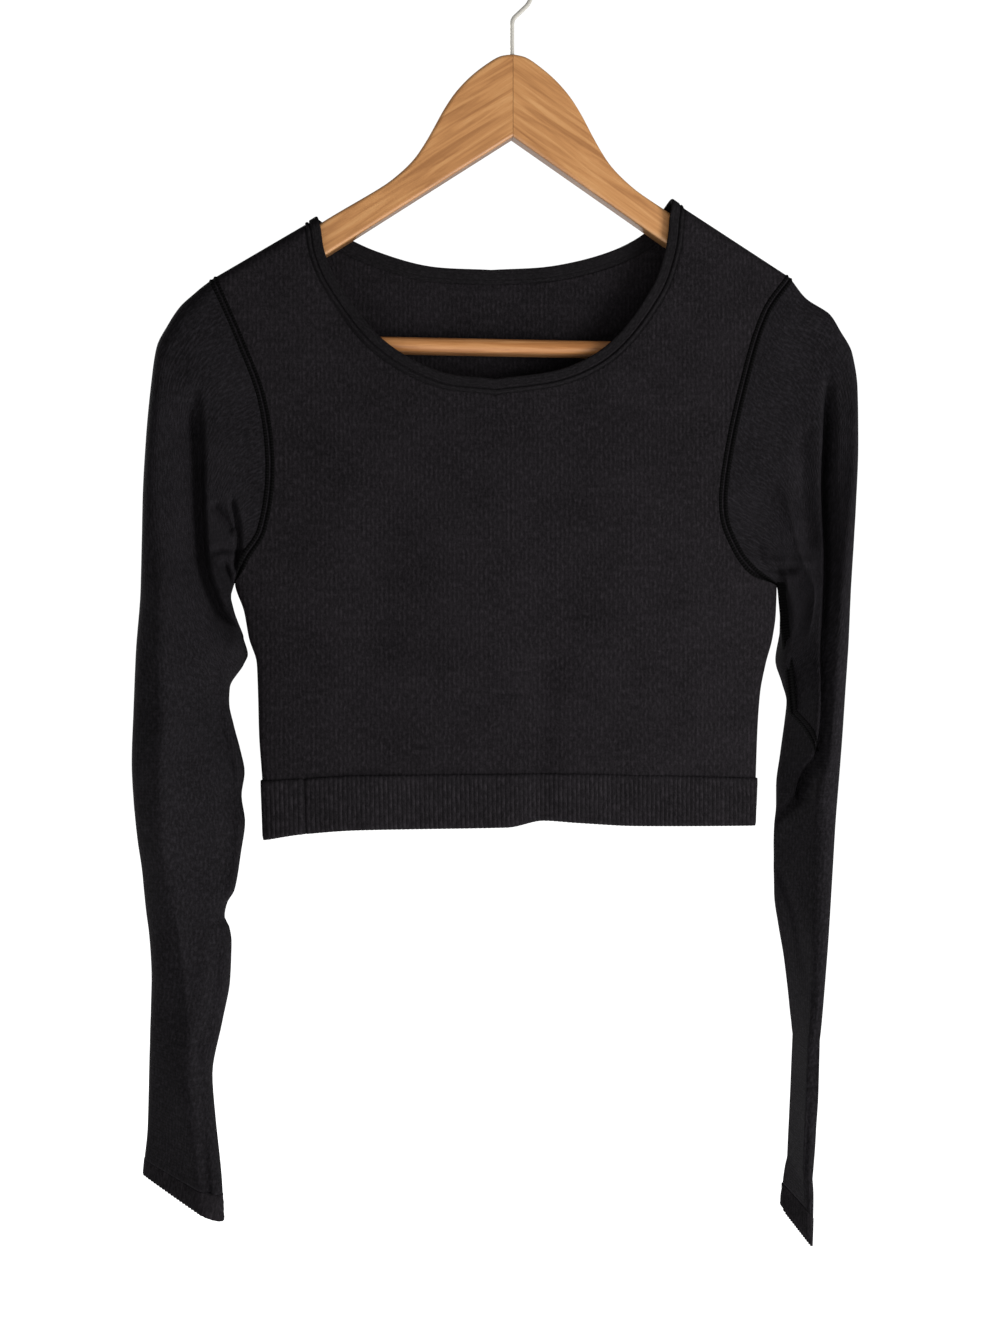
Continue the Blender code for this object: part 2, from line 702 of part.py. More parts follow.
def hem_band(finish):
    """The rib band: one ring round the bottom of the body."""
    grid = []
    for level in (0.0, 0.5, 1.0):
        ring = []
        for face, order in (("front", 1), ("back", -1)):
            for i in range(HEM_STEPS + 1)[::order]:
                share = math.sin(math.pi * (i / HEM_STEPS - 0.5))
                if abs(share) == 1.0 and face == "back":
                    continue
                x = HEM_REACH * share
                bottom = read(HEM, "bottom", "x", x)
                top = read(HEM, "top", "x", x) - SEAM_GAP / 2
                z = mix(bottom, top, level)
                edge = read(BODY, "left" if x < 0 else "right", "z", z)
                point = skin(face, edge * abs(share), z, abs(share), 0.0)
                if abs(share) == 1.0:
                    point.y = 0.0
                ring.append(point)
        grid.append(ring)
    return tube("hem_band", grid, False, finish)


def neck_ring():
    """The binding's sewn line as a ring: down the left front, up the right, over the back."""
    edges = {}
    for side in ("left", "right"):
        for face in ("front", "back"):
            rows = panel_rows(side, face)
            first = LOWER_ROWS + NECK_STEP[face]
            edges[(side, face)] = [panel_point(side, face, rows, 0, j) for j in range(first, len(rows))]
    ring = edges[("left", "front")][::-1] + edges[("right", "front")][1:]
    ring += edges[("right", "back")][-2::-1] + edges[("left", "back")][1:-1]
    return ring


def neck_frames():
    """Round the neck: point on the sewn line, direction to the folded edge, outward normal."""
    ring = neck_ring()
    centre = Vector((NECK_CENTRE, 0, NECK_MIDDLE))
    frames = []
    for i, point in enumerate(ring):
        along = (ring[(i + 1) % len(ring)] - ring[i - 1]).normalized()
        frames.append((point, *neck_axes(point, along, centre)))
    return frames


def neck_axes(point, along, centre):
    """Direction to the folded edge and outward normal, at one point of the sewn line."""
    drop = crest(point.x) - point.z
    turn = min(drop / CREST_ROUND, 1.0) * math.pi / 2
    lean = math.atan(SHOULDERS["left" if point.x < NECK_CENTRE else "right"].slope)
    top = Vector((math.copysign(math.sin(lean), point.x), 0, math.cos(lean)))
    outward = top * math.cos(turn) + DEPTH * math.copysign(math.sin(turn), point.y)
    outward = (outward - along * outward.dot(along)).normalized()
    inward = along.cross(outward).normalized()
    if inward.dot(centre - point) < 0:
        inward = -inward
    return inward, outward


def neck_normal(point):
    """The binding's normal where it meets a panel, so that their gap stays even."""
    mirrored = Vector((point.x, -point.y, point.z))
    for place, _, outward in neck_frames():
        if min((place - point).length, (place - mirrored).length) < 1e-6:
            return Vector((outward.x, math.copysign(outward.y, point.y), outward.z))
    return Vector((0, math.copysign(1.0, point.y), 0))


def neck_binding(finish):
    """Folded strip round the neck: a rounded flat section swept along the sewn line."""
    section = [(0.0, 0.0), (0.12, 0.36), (0.88, 0.36), (1.0, 0.0), (0.95, -0.46), (0.0, -0.46)]
    points = []
    frames = neck_frames()
    for point, inward, away in frames:
        start = point + inward * SEAM_GAP
        for along, high in section:
            points.append(start + inward * along * (BINDING_WIDTH - SEAM_GAP) + away * high * BINDING_THICK)
    count, size = len(frames), len(section)
    faces = []
    for j in range(count):
        for i in range(size):
            k, m = (i + 1) % size, (j + 1) % count
            faces.append((j * size + i, j * size + k, m * size + k, m * size + i))
    mesh = bpy.data.meshes.new("neck_binding")
    mesh.from_pydata([p * MM for p in points], [], faces)
    face_out(mesh)
    return add_object("neck_binding", mesh, finish)


def face_out(mesh):
    work = bmesh.new()
    work.from_mesh(mesh)
    bmesh.ops.recalc_face_normals(work, faces=work.faces)
    work.to_mesh(mesh)
    work.free()


# ---- hanger ------------------------------------------------------------------------------
def board_half(side, finish, cutters):
    """One half of the hanger's board: the whole outline eased, then cut at the middle."""
    outline = [(p.x, p.z) for p in WING]
    outline += [(-p.x, p.z) for p in reversed(WING[1:-1])]
    work = bmesh.new()
    front = [work.verts.new((x * MM, -BOARD_THICK / 2 * MM, z * MM)) for x, z in outline]
    back = [work.verts.new((x * MM, BOARD_THICK / 2 * MM, z * MM)) for x, z in outline]
    work.faces.new(front)
    work.faces.new(back[::-1])
    count = len(outline)
    for i in range(count):
        k = (i + 1) % count
        work.faces.new((front[i], back[i], back[k], front[k]))
    bmesh.ops.recalc_face_normals(work, faces=work.faces)
    rims = [e for e in work.edges if abs(e.verts[0].co.y - e.verts[1].co.y) < 1e-9]
    bmesh.ops.bevel(work, geom=rims, offset=BOARD_EASE * MM, segments=2, profile=0.5, affect="EDGES")
    sign = -1 if side == "left" else 1
    cut = bmesh.ops.bisect_plane(
        work, geom=work.verts[:] + work.edges[:] + work.faces[:],
        plane_co=(sign * JOINT_GAP / 2 * MM, 0, 0), plane_no=(-sign, 0, 0), clear_outer=True,
    )
    rim = [e for e in cut["geom_cut"] if isinstance(e, bmesh.types.BMEdge)]
    bmesh.ops.contextual_create(work, geom=rim)
    bmesh.ops.recalc_face_normals(work, faces=work.faces)
    mesh = bpy.data.meshes.new("hanger_wing_" + side)
    work.to_mesh(mesh)
    work.free()
    made = add_object("hanger_wing_" + side, mesh, finish)
    for socket in cutters:
        modifier = made.modifiers.new("socket", "BOOLEAN")
        modifier.object = socket
        modifier.operation = "DIFFERENCE"
        modifier.solver = "EXACT"
    return made


def round_bar(name, start, end, radius, sides):
    """A closed cylinder between two points, in millimetres."""
    start, end = Vector(start) * MM, Vector(end) * MM
    work = bmesh.new()
    bmesh.ops.create_cone(
        work, cap_ends=True, segments=sides, radius1=radius * MM, radius2=radius * MM,
        depth=(end - start).length,
    )
    turn = (end - start).to_track_quat("Z", "Y").to_matrix().to_4x4()
    bmesh.ops.transform(work, matrix=turn, verts=work.verts)
    bmesh.ops.translate(work, vec=(start + end) / 2, verts=work.verts)
    mesh = bpy.data.meshes.new(name)
    work.to_mesh(mesh)
    work.free()
    return mesh


def cutter(name, start, end, radius, finish):
    made = add_object(name, round_bar(name, start, end, radius, 20), finish)
    made.hide_render = True
    made.display_type = "WIRE"
    return made


def hook_route():
    """Centre line of the hook in its own plane: (out, up)."""
    radius = HOOK_INNER + HOOK_RADIUS
    lean = math.radians(HOOK_LEAN)
    join_out = radius * math.cos(lean)
    join_up = -HOOK_INNER - radius * math.sin(lean)
    straight = (join_out - HOOK_BEND * (1 - math.cos(lean))) / math.sin(lean)
    bend_up = join_up - straight * math.cos(lean) - HOOK_BEND * math.sin(lean)
    route = [(0.0, HOOK_STEM_END), (0.0, mix(HOOK_STEM_END, bend_up, 0.5)), (0.0, bend_up)]
    for step in range(1, 6):
        angle = lean * step / 5
        route.append((HOOK_BEND * (1 - math.cos(angle)), bend_up + HOOK_BEND * math.sin(angle)))
    for step in range(25):
        angle = mix(-lean, math.radians(HOOK_END), step / 24)
        route.append((radius * math.cos(angle), -HOOK_INNER + radius * math.sin(angle)))
    return route


def hook(finish):
    turn = math.radians(HOOK_TURN)
    route = hook_route()
    data = bpy.data.curves.new("hanger_hook", "CURVE")
    data.dimensions = "3D"
    data.bevel_depth = HOOK_RADIUS * MM
    data.bevel_resolution = 3
    data.use_fill_caps = True
    line = data.splines.new("POLY")
    line.points.add(len(route) - 1)
    for point, (out, up) in zip(line.points, route):
        place = Vector((out * math.cos(turn), out * math.sin(turn), up)) * MM
        point.co = (*place, 1.0)
    data.materials.append(finish)
    made = bpy.data.objects.new("hanger_hook", data)
    bpy.context.collection.objects.link(made)
    return made


def build():
    for old in list(bpy.data.objects):
        bpy.data.objects.remove(old, do_unlink=True)
    knit = material("marled_rib_knit", (0.019, 0.017, 0.019), 0.92)
    rib = material("rib_band_knit", (0.018, 0.016, 0.018), 0.92)
    trim = material("knit_binding", (0.020, 0.018, 0.020), 0.9)
    thread = material("seam_thread", (0.008, 0.007, 0.008), 0.85)
    beech = material("oiled_wood", (0.47, 0.24, 0.10), 0.45)
    steel = material("bright_steel_wire", (0.55, 0.55, 0.56), 0.3, 1.0)

    panel("front", "front", knit)
    panel("back", "back", knit)
    hem_band(rib)
    neck_binding(trim)
    for side in ("left", "right"):
        sleeve(side, knit)
        cuff(side, rib)
        armhole_seam(side, thread)
        sleeve_seam(side, thread)

    stem_socket = cutter(
        "cut_stem", (0, 0, HOOK_STEM_END - SOCKET_GAP), (0, 0, WING[0].z + 10),
        HOOK_RADIUS + SOCKET_GAP, steel,
    )
    bar_socket = cutter(
        "cut_bar", (-BAR_END - SOCKET_GAP, 0, BAR_CENTRE), (BAR_END + SOCKET_GAP, 0, BAR_CENTRE),
        BAR_RADIUS + SOCKET_GAP, beech,
    )
    for side in ("left", "right"):
        board_half(side, beech, (stem_socket, bar_socket))
    bar = round_bar("hanger_bar", (-BAR_END, 0, BAR_CENTRE), (BAR_END, 0, BAR_CENTRE), BAR_RADIUS, 20)
    add_object("hanger_bar", bar, beech)
    hook(steel)


build()
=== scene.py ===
"""A cropped rib-knit top with long sleeves, hung on a flat wooden hanger.

Metres, +Z up, the front of the top faces -Y, "left" is -X.  The origin is the inner top of
the hanger's hook.  Tables and helpers are in millimetres, and become metres in the meshes.
The knit is worked out as its outer skin, creased, and then given its thickness inwards.
"""
import math
from collections import namedtuple

import bmesh
import bpy
import numpy as np
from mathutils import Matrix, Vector, bvhtree, noise


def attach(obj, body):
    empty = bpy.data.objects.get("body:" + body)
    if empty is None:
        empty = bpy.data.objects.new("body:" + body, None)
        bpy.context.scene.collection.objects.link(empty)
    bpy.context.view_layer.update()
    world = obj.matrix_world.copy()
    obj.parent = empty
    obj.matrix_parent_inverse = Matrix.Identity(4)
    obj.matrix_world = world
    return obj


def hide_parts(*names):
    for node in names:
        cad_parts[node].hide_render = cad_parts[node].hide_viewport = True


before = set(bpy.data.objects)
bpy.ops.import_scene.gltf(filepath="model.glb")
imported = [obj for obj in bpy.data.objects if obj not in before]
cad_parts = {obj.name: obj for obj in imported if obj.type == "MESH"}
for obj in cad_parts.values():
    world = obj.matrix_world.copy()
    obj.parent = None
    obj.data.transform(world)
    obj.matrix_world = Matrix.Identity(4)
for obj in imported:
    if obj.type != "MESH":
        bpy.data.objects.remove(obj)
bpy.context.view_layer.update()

MM = 0.001
QUARTER = math.pi / 2
DEPTH = Vector((0, 1, 0))
UP = Vector((0, 0, 1))
SIDES = ("left", "right")
FACES = ("front", "back")


def rows(kind, *values):
    """A table's rows, under the names of its columns."""
    return [kind(*row) for row in values]


# ---- sizes of the garment ----------------------------------------------------------------
WALL = 1.0                # thickness of the knit
STRIP_WIDTH = 6.6         # flat stitched seam round the armhole
SLEEVE_STRIP = 4.2        # flat seam along the underarm
SEAM_STEP = 2.0           # spacing of the points along the underarm seam
SEAM_LIFT = 0.15          # how far the underarm seam stands off the knit
BINDING_WIDTH = 10.3      # neck binding, from its sewn line to its folded edge
BINDING_THICK = 2.6
BINDING_GROOVES = (0.7, 3.6)  # stitched lines, from the binding's sewn edge
BINDING_STEPS = 30
FOLD_ROUND = 1.3          # radius of the binding's fold
CREST_ROUND = 9.0         # how far below the shoulder line the knit turns over the wood
UNDERARM_ROUND = 16.0     # how far up the armhole the knit opens from the side fold
SIDE_POWER = 7.0          # squareness of the body's flattened section
CROWN = 0.20              # how much shallower the body is at its sides than in the middle

Level = namedtuple("Level", "z left right front back")
BODY = rows(Level,        # outer faces of the flattened body tube
    (-577, -159.6, 159.6, 13, 12), (-540, -161, 161, 12.5, 11.5), (-507, -163.2, 162.1, 13.5, 12),
    (-483, -163.8, 163.8, 14, 12.5), (-463, -164.6, 167.6, 14.5, 13), (-447, -169.5, 172, 14.5, 13.5),
    (-430, -172.6, 174.4, 14.5, 13.5), (-411, -178.5, 175, 14.5, 13.5), (-340, -178.5, 175, 13.5, 12.5),
    (-280, -178.5, 175, 12.5, 11.5), (-230, -178.5, 175, 11, 10.5), (-160, -178.5, 175, 10, 10),
)
Hem = namedtuple("Hem", "x bottom top")
HEM = rows(Hem,           # lower edge of the rib band, and where the band meets the body
    (-161, -575.6, -538), (-137, -571.8, -536.7), (-100, -569.4, -534.9), (-5, -568.5, -534.4),
    (19, -564.4, -534.4), (42, -566, -534.6), (80, -568.3, -535.5), (161, -569.2, -538.3),
)
HEM_REACH = 160.3         # half the width of the band

Shoulder = namedtuple("Shoulder", "x_neck z_neck slope")
SHOULDERS = {             # the line where front and back meet on top of the hanger
    "left": Shoulder(-124.0, -175.5, 0.615),
    "right": Shoulder(113.0, -164.0, 0.612),
}
Hole = namedtuple("Hole", "front back z")
ARMHOLES = {              # x of the seam on the front and on the back, underarm to shoulder
    "left": rows(Hole,
        (-178.5, -178.5, -411), (-172, -173.5, -396), (-161.5, -166, -378.4), (-156.1, -162, -340),
        (-161.1, -166, -296), (-175, -177.5, -258), (-192.6, -192.6, -217.7),
    ),
    "right": rows(Hole,
        (175, 175, -412), (159.3, 163, -403.6), (147.8, 154, -390.8), (138, 146, -366),
        (140.2, 147, -332), (152.1, 157, -277.7), (166.5, 169, -233), (184.3, 184.3, -207.6),
    ),
}
NECK_CENTRE = -12.0       # the neck hangs a little to the left of the hook
NECK_MIDDLE = -215.0      # height that the folded edge of the binding faces
NECK = {                  # sewn line of the binding, (x, z) from the middle up to the shoulder
    ("left", "front"): [
        (-12, -290.4), (-52.5, -285.2), (-91.8, -263.1), (-121, -226.3), (-131.5, -203), (-134.6, -182),
    ],
    ("right", "front"): [
        (-12, -290.4), (35.1, -282.1), (69, -263), (98.8, -224.5), (109.8, -194.4), (113.2, -164.2),
    ],
    ("left", "back"): [
        (-12, -215.4), (-55.5, -213.8), (-91.5, -204.5), (-117, -193), (-134.6, -182),
    ],
    ("right", "back"): [
        (-12, -215.4), (31, -211.5), (72, -200), (99, -184), (113.2, -164.2),
    ],
}

# A sleeve is a run of flattened rings, each with an outer end along the top of the arm and an
# inner end along the underarm: (y and z of the outer end, x, y and z of the inner end, half
# its thickness, how far its middle leans towards the body).
SLEEVES = {
    "left": [
        (0, -226.1, -180.5, 0, -417, 12, 19), (0, -235.9, -181.5, 0, -422.5, 13, 14),
        (-1, -262.3, -180.5, 1, -429, 14.5, 8), (-3, -300, -177, 2, -437, 16.5, 4),
        (-8, -346, -173, 5, -447, 18.5, 1), (-16, -400, -174.5, 9, -460, 19, 0),
        (-24, -452, -181, 14, -474, 18.5, 0), (-27, -506, -179.5, 17, -504, 17, 0),
        (-24, -550, -173.8, 16, -548, 16.5, 0), (-14, -594, -176.5, 9, -592, 16.5, 0),
        (-5, -622, -184.8, 3, -622, 17, 0), (3, -660, -182.6, -4, -660, 16.5, 0),
        (13, -716, -192.6, -14, -722, 14, 0), (22, -777, -188.6, -24, -789, 10.5, 0),
        (24, -792, -186.4, -27, -812, 10, 0),
    ],
    "right": [
        (0, -223.5, 180.5, 0, -415.5, 12, 26), (0, -235, 181.5, 0, -421.5, 13, 19),
        (-2, -257.5, 181.5, 2, -428.5, 14.5, 11), (-6, -296, 181.5, 5, -437, 16.5, 5),
        (-13, -346, 181.5, 10, -447, 18.5, 2), (-22, -400, 181.5, 18, -460, 18, 0),
        (-29, -456, 184.5, 25, -477, 15, 0), (-31, -512, 184.5, 27, -514, 13, 0),
        (-31, -563, 179, 27, -565, 12, 0), (-31, -612, 178.6, 27, -614, 10.5, 0),
        (-31, -664, 188.4, 27, -668, 8, 0), (-31, -724, 191.2, 28, -726, 6, 0),
        (-31, -782, 189.8, 29, -780, 5.7, 0), (-32, -817, 186.8, 30, -808, 6.5, 0),
        (-33, -841, 185, 30, -827, 6.9, 0),
    ],
}
# The sleeves' edges as they hang, (x, z) from the shoulder down.  The inner edge takes over
# from the rings' own x where the sleeve leaves the body.
OUTER_EDGE = {
    "left": [
        (-202.8, -226.1), (-213.1, -235.9), (-220.6, -247.5), (-227.8, -262.3), (-230.7, -282),
        (-234.2, -320.9), (-235.9, -359.1), (-236.5, -420.8), (-238.4, -454.5), (-239.5, -495.5),
        (-240.5, -527.6), (-239.5, -552.4), (-237.9, -574.4), (-236, -591.9), (-234.9, -609.5),
        (-234.3, -618.9), (-232.5, -634.4), (-231, -662), (-231.6, -696.3), (-232.5, -758),
        (-236, -792),
    ],
    "right": [
        (198.6, -223.5), (211.8, -231.8), (218.3, -242.2), (225.7, -256.7), (228.5, -279.6),
        (227.8, -314.5), (225.3, -354.4), (222.7, -386.6), (220.4, -415.5), (216.1, -479.9),
        (210.6, -547.6), (206.8, -606.7), (204.6, -642.5), (200.7, -695.4), (198, -731.2),
        (196.3, -766.3), (195.2, -793.1), (194.4, -815.9), (193.6, -841),
    ],
}
INNER_EDGE = {
    "left": [
        (-173, -447), (-170.5, -457), (-173.5, -463.5), (-183, -478), (-183.7, -488.1),
        (-180.9, -502.7), (-176.7, -518.6), (-173.8, -533.2), (-175.7, -547.8), (-173.1, -565.4),
        (-175.3, -584.3), (-178.8, -607.7), (-183.7, -616.8), (-185, -624.4), (-181.8, -632),
        (-180.5, -641), (-181.4, -664.3), (-186.8, -692.1), (-193.3, -725.6), (-191.8, -748.7),
        (-187.7, -789), (-186.4, -812),
    ],
    "right": [
        (181.5, -447), (179.5, -460), (184.9, -474.4), (188.4, -488), (187.5, -499.4), (184.3, -523.7),
        (181.6, -544.7), (181.5, -564), (179.9, -588), (180.2, -616.4), (183.3, -637.9),
        (187.4, -661.2), (190.3, -691.6), (191.2, -715.1), (191.2, -741.8), (190.4, -768.4),
        (188.9, -788.4), (186.6, -808), (184.6, -827),
    ],
}
UNDERARM_SEAM = {         # where the seam under the arm shows on the front, armhole downwards
    "left": [
        (-187, -458), (-184.5, -476), (-186, -500), (-183, -540), (-184, -590), (-189, -616),
        (-187, -650), (-191, -690), (-197, -730), (-193, -780),
    ],
    "right": [
        (176.5, -409.8), (175.8, -430), (177.5, -450), (183.3, -485.2), (193.5, -505.1), (199, -521),
    ],
}
LOWER_TWIST = {"left": 1.0, "right": 0.74}  # how much of its turn a sleeve keeps below the elbow
ELBOW = (0.3, 0.6)        # where that turn eases off, as shares of the sleeve's length
CUFF_START = 0.945        # how far down the rings the rib cuff begins
RIB_PITCH = 2.9           # from one rib of the knit to the next
CUFF_RIB = 0.42           # how far a rib stands up from the cuff
HEM_RIB = 0.26            # and from the hem band
HEM_ROLL = -0.5           # how far the band's lower edge rolls in
UNDER_BAND = 1.0          # how far the body's edge goes on behind the hem band
BAND_PROUD = 0.12         # and how far the band stands out over it

# Creases pressed into a face of a piece: (how far the knit goes in, or out if negative, how
# quickly it comes back on the left and on the right of the line, the line's points).
Crease = namedtuple("Crease", "depth left right line")
CREASES = {
    ("sleeve_left", "front"): [
        (12, 11, 2.2, [(-203, -284), (-202, -298.1), (-200.1, -329.4), (-199.5, -360.7), (-198.3, -385.7),
            (-196.4, -402.7), (-192.1, -417), (-185.9, -431.4), (-175.9, -443.3), (-168, -452)]),
        (-7.5, 11, 10, [(-226, -385), (-225.5, -421.9), (-224.9, -465.3), (-222.4, -506.3),
            (-222.4, -535.4), (-221.8, -583.2), (-216.3, -608.2), (-211.4, -641.2), (-206.5, -695.3),
            (-202.2, -736.5), (-196, -765.9), (-192.3, -795.3)]),
        (7, 2.8, 1.7, [(-202.5, -688), (-200.1, -705.2), (-197.6, -727.2), (-196.4, -749.2),
            (-195.2, -774.3), (-192.7, -794.4), (-191.6, -806)]),
        (5, 2.2, 3.4, [(-193.5, -361), (-190.3, -364.8), (-182.2, -374.8), (-179, -381)]),
        (5, 1.8, 1.8, [(-180.5, -355), (-179.3, -362.9), (-176.1, -378.7), (-176.1, -389.5),
            (-178, -405.9)]),
        (4.5, 2, 2, [(-187.5, -397), (-184.3, -402.2), (-179.3, -414.8), (-173.6, -431.2), (-171, -440)]),
        (-2.6, 3, 3, [(-193.5, -388), (-191.6, -393.6), (-184.8, -410.6), (-177.9, -427.5),
            (-173, -436)]),
        (2.6, 2, 2.6, [(-194.5, -395), (-190.4, -392.8), (-183.6, -390.9), (-176.1, -392.7),
            (-171, -395)]),
        (2.4, 6, 7, [(-229, -372), (-230.5, -398.4), (-229.3, -448.4), (-230.5, -486), (-231, -512)]),
        (6, 6, 4, [(-192, -458), (-189, -480), (-188, -500), (-182, -526), (-180, -560), (-183, -596),
            (-190, -622)]),
        (4, 4, 3, [(-189, -630), (-189, -655), (-193, -690), (-199, -722)]),
    ],
    ("sleeve_left", "back"): [
        (7, 5, 9, [(-204, -292), (-201, -330), (-200, -366), (-197, -400), (-189, -428), (-178, -446)]),
        (-3.5, 12, 14, [(-219, -392), (-216, -450), (-213, -520), (-212, -590), (-209, -650),
            (-205, -710), (-199, -790)]),
        (3.4, 3, 4, [(-192, -356), (-186, -371), (-180, -392), (-177, -412)]),
        (2.8, 5, 4, [(-226, -470), (-224, -530), (-221, -596), (-216, -640)]),
    ],
    ("sleeve_right", "front"): [
        (14, 2.8, 2.8, [(206.5, -264), (207.1, -285.4), (207.1, -311.3), (205.7, -343.8), (206.4, -397.8),
            (203.7, -452.3), (203.1, -495.2), (199.7, -523.8), (195.1, -534.1), (190.4, -551.6),
            (181.7, -566.4), (177.1, -588.4), (176, -596)]),
        (3.4, 1.8, 1.8, [(199, -526), (194.5, -533.7), (190.5, -542.2), (192.5, -550), (196, -556)]),
        (2.6, 1.8, 2.2, [(177.5, -590), (178.4, -595.6), (186.4, -624.8), (191.1, -652.2),
            (193.7, -674.9), (195.5, -690)]),
        (-3.4, 4, 3, [(174, -343), (177.3, -350.4), (181.3, -365.3), (189.3, -397.7), (195.9, -413.3),
            (194.6, -434.7), (192, -450)]),
        (4.4, 1.9, 2.2, [(157, -380), (161.4, -385.7), (162.7, -393.5), (166.1, -400.7), (178.1, -401.9),
            (189, -401.5)]),
        (-2.2, 2.4, 2.4, [(160, -399), (166.2, -397.5), (180.9, -395.8), (191.6, -397), (200, -399)]),
        (-2.4, 3.4, 3.4, [(194, -650), (193.1, -670.4), (189.1, -711.2), (186.4, -742.9),
            (183.7, -788.8)]),
        (3.4, 1.7, 1.7, [(200, -676), (198.4, -697.7), (193.7, -743.1), (190.6, -790), (189.7, -811.1),
            (189.5, -826)]),
        (3, 5, 6, [(191, -300), (190, -330), (192, -360), (197, -392)]),
    ],
    ("sleeve_right", "back"): [
        (8, 3.4, 3.4, [(209, -276), (208, -330), (207, -390), (204, -450), (201, -506), (194, -548),
            (184, -584)]),
        (-3, 6, 5, [(180, -352), (187, -382), (196, -416), (199, -450)]),
        (3, 2.4, 2.4, [(188, -610), (195, -660), (198, -710), (196, -770)]),
    ],
    ("body", "front"): [
        (2.2, 12, 9, [(22, -440), (19.9, -486.6), (18.6, -525.3), (17.3, -565.2), (17, -580)]),
        (1.8, 26, 18, [(-74, -330), (-86, -400), (-92, -470), (-96, -560)]),
        (-1.6, 30, 24, [(96, -300), (90, -380), (84, -470), (80, -560)]),
    ],
    ("body", "back"): [
        (2, 22, 26, [(-60, -300), (-54, -400), (-50, -500), (-49, -580)]),
        (-1.6, 24, 26, [(88, -290), (82, -400), (78, -500), (76, -580)]),
    ],
    ("hem_band", "front"): [
        (1.5, 1.6, 1.2, [(-134.9, -531), (-134.6, -538), (-134, -549.8), (-133.4, -570.1),
            (-133.3, -576)]),
        (2.2, 12, 9, [(19, -515), (18.6, -525.3), (17.3, -565.2), (17, -590)]),
    ],
}
# Slow waves of the hanging knit: their size, their height, and where in the noise they start.
BODY_WAVES = {"front": (95.0, 1.5, 3.1), "back": (95.0, 1.5, 7.7)}
SLEEVE_WAVES = {"left": (34.0, 2.2, 1.3), "right": (34.0, 2.2, 9.4)}

# ---- fineness of the meshes --------------------------------------------------------------
COLUMNS = 76              # steps across half a panel
LOWER_ROWS = 46           # rib band to underarm
END_STEPS = 9             # steps round a quarter of a ring's rounded end
FACE_STEPS = 78           # steps along each flat face of a ring
NECK_STEP = {"front": 48, "back": 61}  # armhole step at which the neck begins
SEAM_STOP = {"front": 3, "back": 6}  # steps from the underarm at which the armhole seam ends
SLEEVE_ROWS = 165         # rows down a sleeve, armhole to cuff
SLEEVE_HEAD = 12          # rows between the armhole and the sleeve's first ring
CUFF_ROWS = 12
HEM_STEPS = 360           # steps along each face of the hem band, before they are evened out
HEM_ROWS = 14
RIB_STEP = 0.48           # spacing of the points round the finished band
EDGE_COLUMNS = 7          # columns over which creases fade towards a seam or a fold
WELD_REACH = 0.03         # points closer than this are joined

# ---- sizes of the hanger -----------------------------------------------------------------
BOARD_THICK = 12.0
BOARD_EASE = 2.4          # eased arris along the board's outline
BOARD_JOIN = 0.12         # half the fine line between the two boards
WING = [                  # outline of the right half of the board, from the middle of its top
    (0, -68), (8.5, -69.8), (17.5, -75.4), (28, -84), (37.5, -94.5), (45, -106), (51.5, -118),
    (57.5, -128.5), (64, -138), (72.5, -146.8), (84, -156), (118.7, -177.6), (150, -198.6),
    (190, -224.6), (204, -233.5), (213, -244), (218.5, -256), (218, -266.5), (211, -272.5),
    (203, -268.5), (195, -257), (186, -245.2), (0, -122),
]
WING_TIP = (17, 21)       # points of the outline between which the tip is rounded
GRAIN_SLOPE = 33.5        # degrees the grain falls away from the middle
GRAIN_SHIFT = {"left": 1.3, "right": 0.0}  # metres between the two boards' cuts of grain
BAR_RADIUS = 5.7
BAR_UNEVEN = 0.06         # how far the turned bar wanders from round
BAR_CENTRE = -257.9
BAR_END = 209.0
HOOK_RADIUS = 1.4         # half the wire's thickness
HOOK_INNER = 18.1         # inner radius of the hook's round
HOOK_STEM_END = -84.0     # how deep the stem sits in the wood
HOOK_LEAN = 48.0          # degrees the wire leaves the stem by
HOOK_END = 196.0          # degrees round the hook at which the wire ends
HOOK_BEND = 8.0           # radius of the bend above the stem
HOOK_TURN = 40.0          # degrees the hook is turned out of the board's plane
SHARP_ANGLE = math.radians(50)  # edges of the wood sharper than this stay crisp


# ---- curves ------------------------------------------------------------------------------
def hermite(values, keys, at, slope):
    """A curve through values at rising keys, with the slopes given, read at one place."""
    last = len(keys) - 1
    i = 0
    while i < last - 1 and at > keys[i + 1]:
        i += 1
    span = keys[i + 1] - keys[i]
    t = (at - keys[i]) / span
    start = values[i] * (1 + 2 * t) * (1 - t) ** 2 + slope(i) * span * t * (1 - t) ** 2
    end = values[i + 1] * t * t * (3 - 2 * t) + slope(i + 1) * span * t * t * (t - 1)
    return start + end


def spline(values, keys, at):
    """A smooth curve that never swings past its values, as the sizes need."""
    last = len(keys) - 1

    def rise(k):
        return (values[k + 1] - values[k]) / (keys[k + 1] - keys[k])

    def slope(k):
        if k in (0, last):
            return rise(min(k, last - 1))
        before, after = rise(k - 1), rise(k)
        return 2 * before * after / (before + after) if before * after > 0 else 0.0

    return hermite(values, keys, min(max(at, keys[0]), keys[last]), slope)


def swing(values, keys, at):
    """A smooth curve that may swing past its values, as round outlines need."""
    def slope(k):
        a, b = max(k - 1, 0), min(k + 1, len(keys) - 1)
        return (values[b] - values[a]) / (keys[b] - keys[a])

    return hermite(values, keys, at, slope)


def read(table, column, key, at):
    """One column of a table, read smoothly at a value of its key column."""
    return spline([getattr(row, column) for row in table], [getattr(row, key) for row in table], at)


def edge_at(edge, z):
    """x of a sleeve's edge at a height."""
    across, heights = zip(*reversed(edge))
    return spline(across, heights, z)


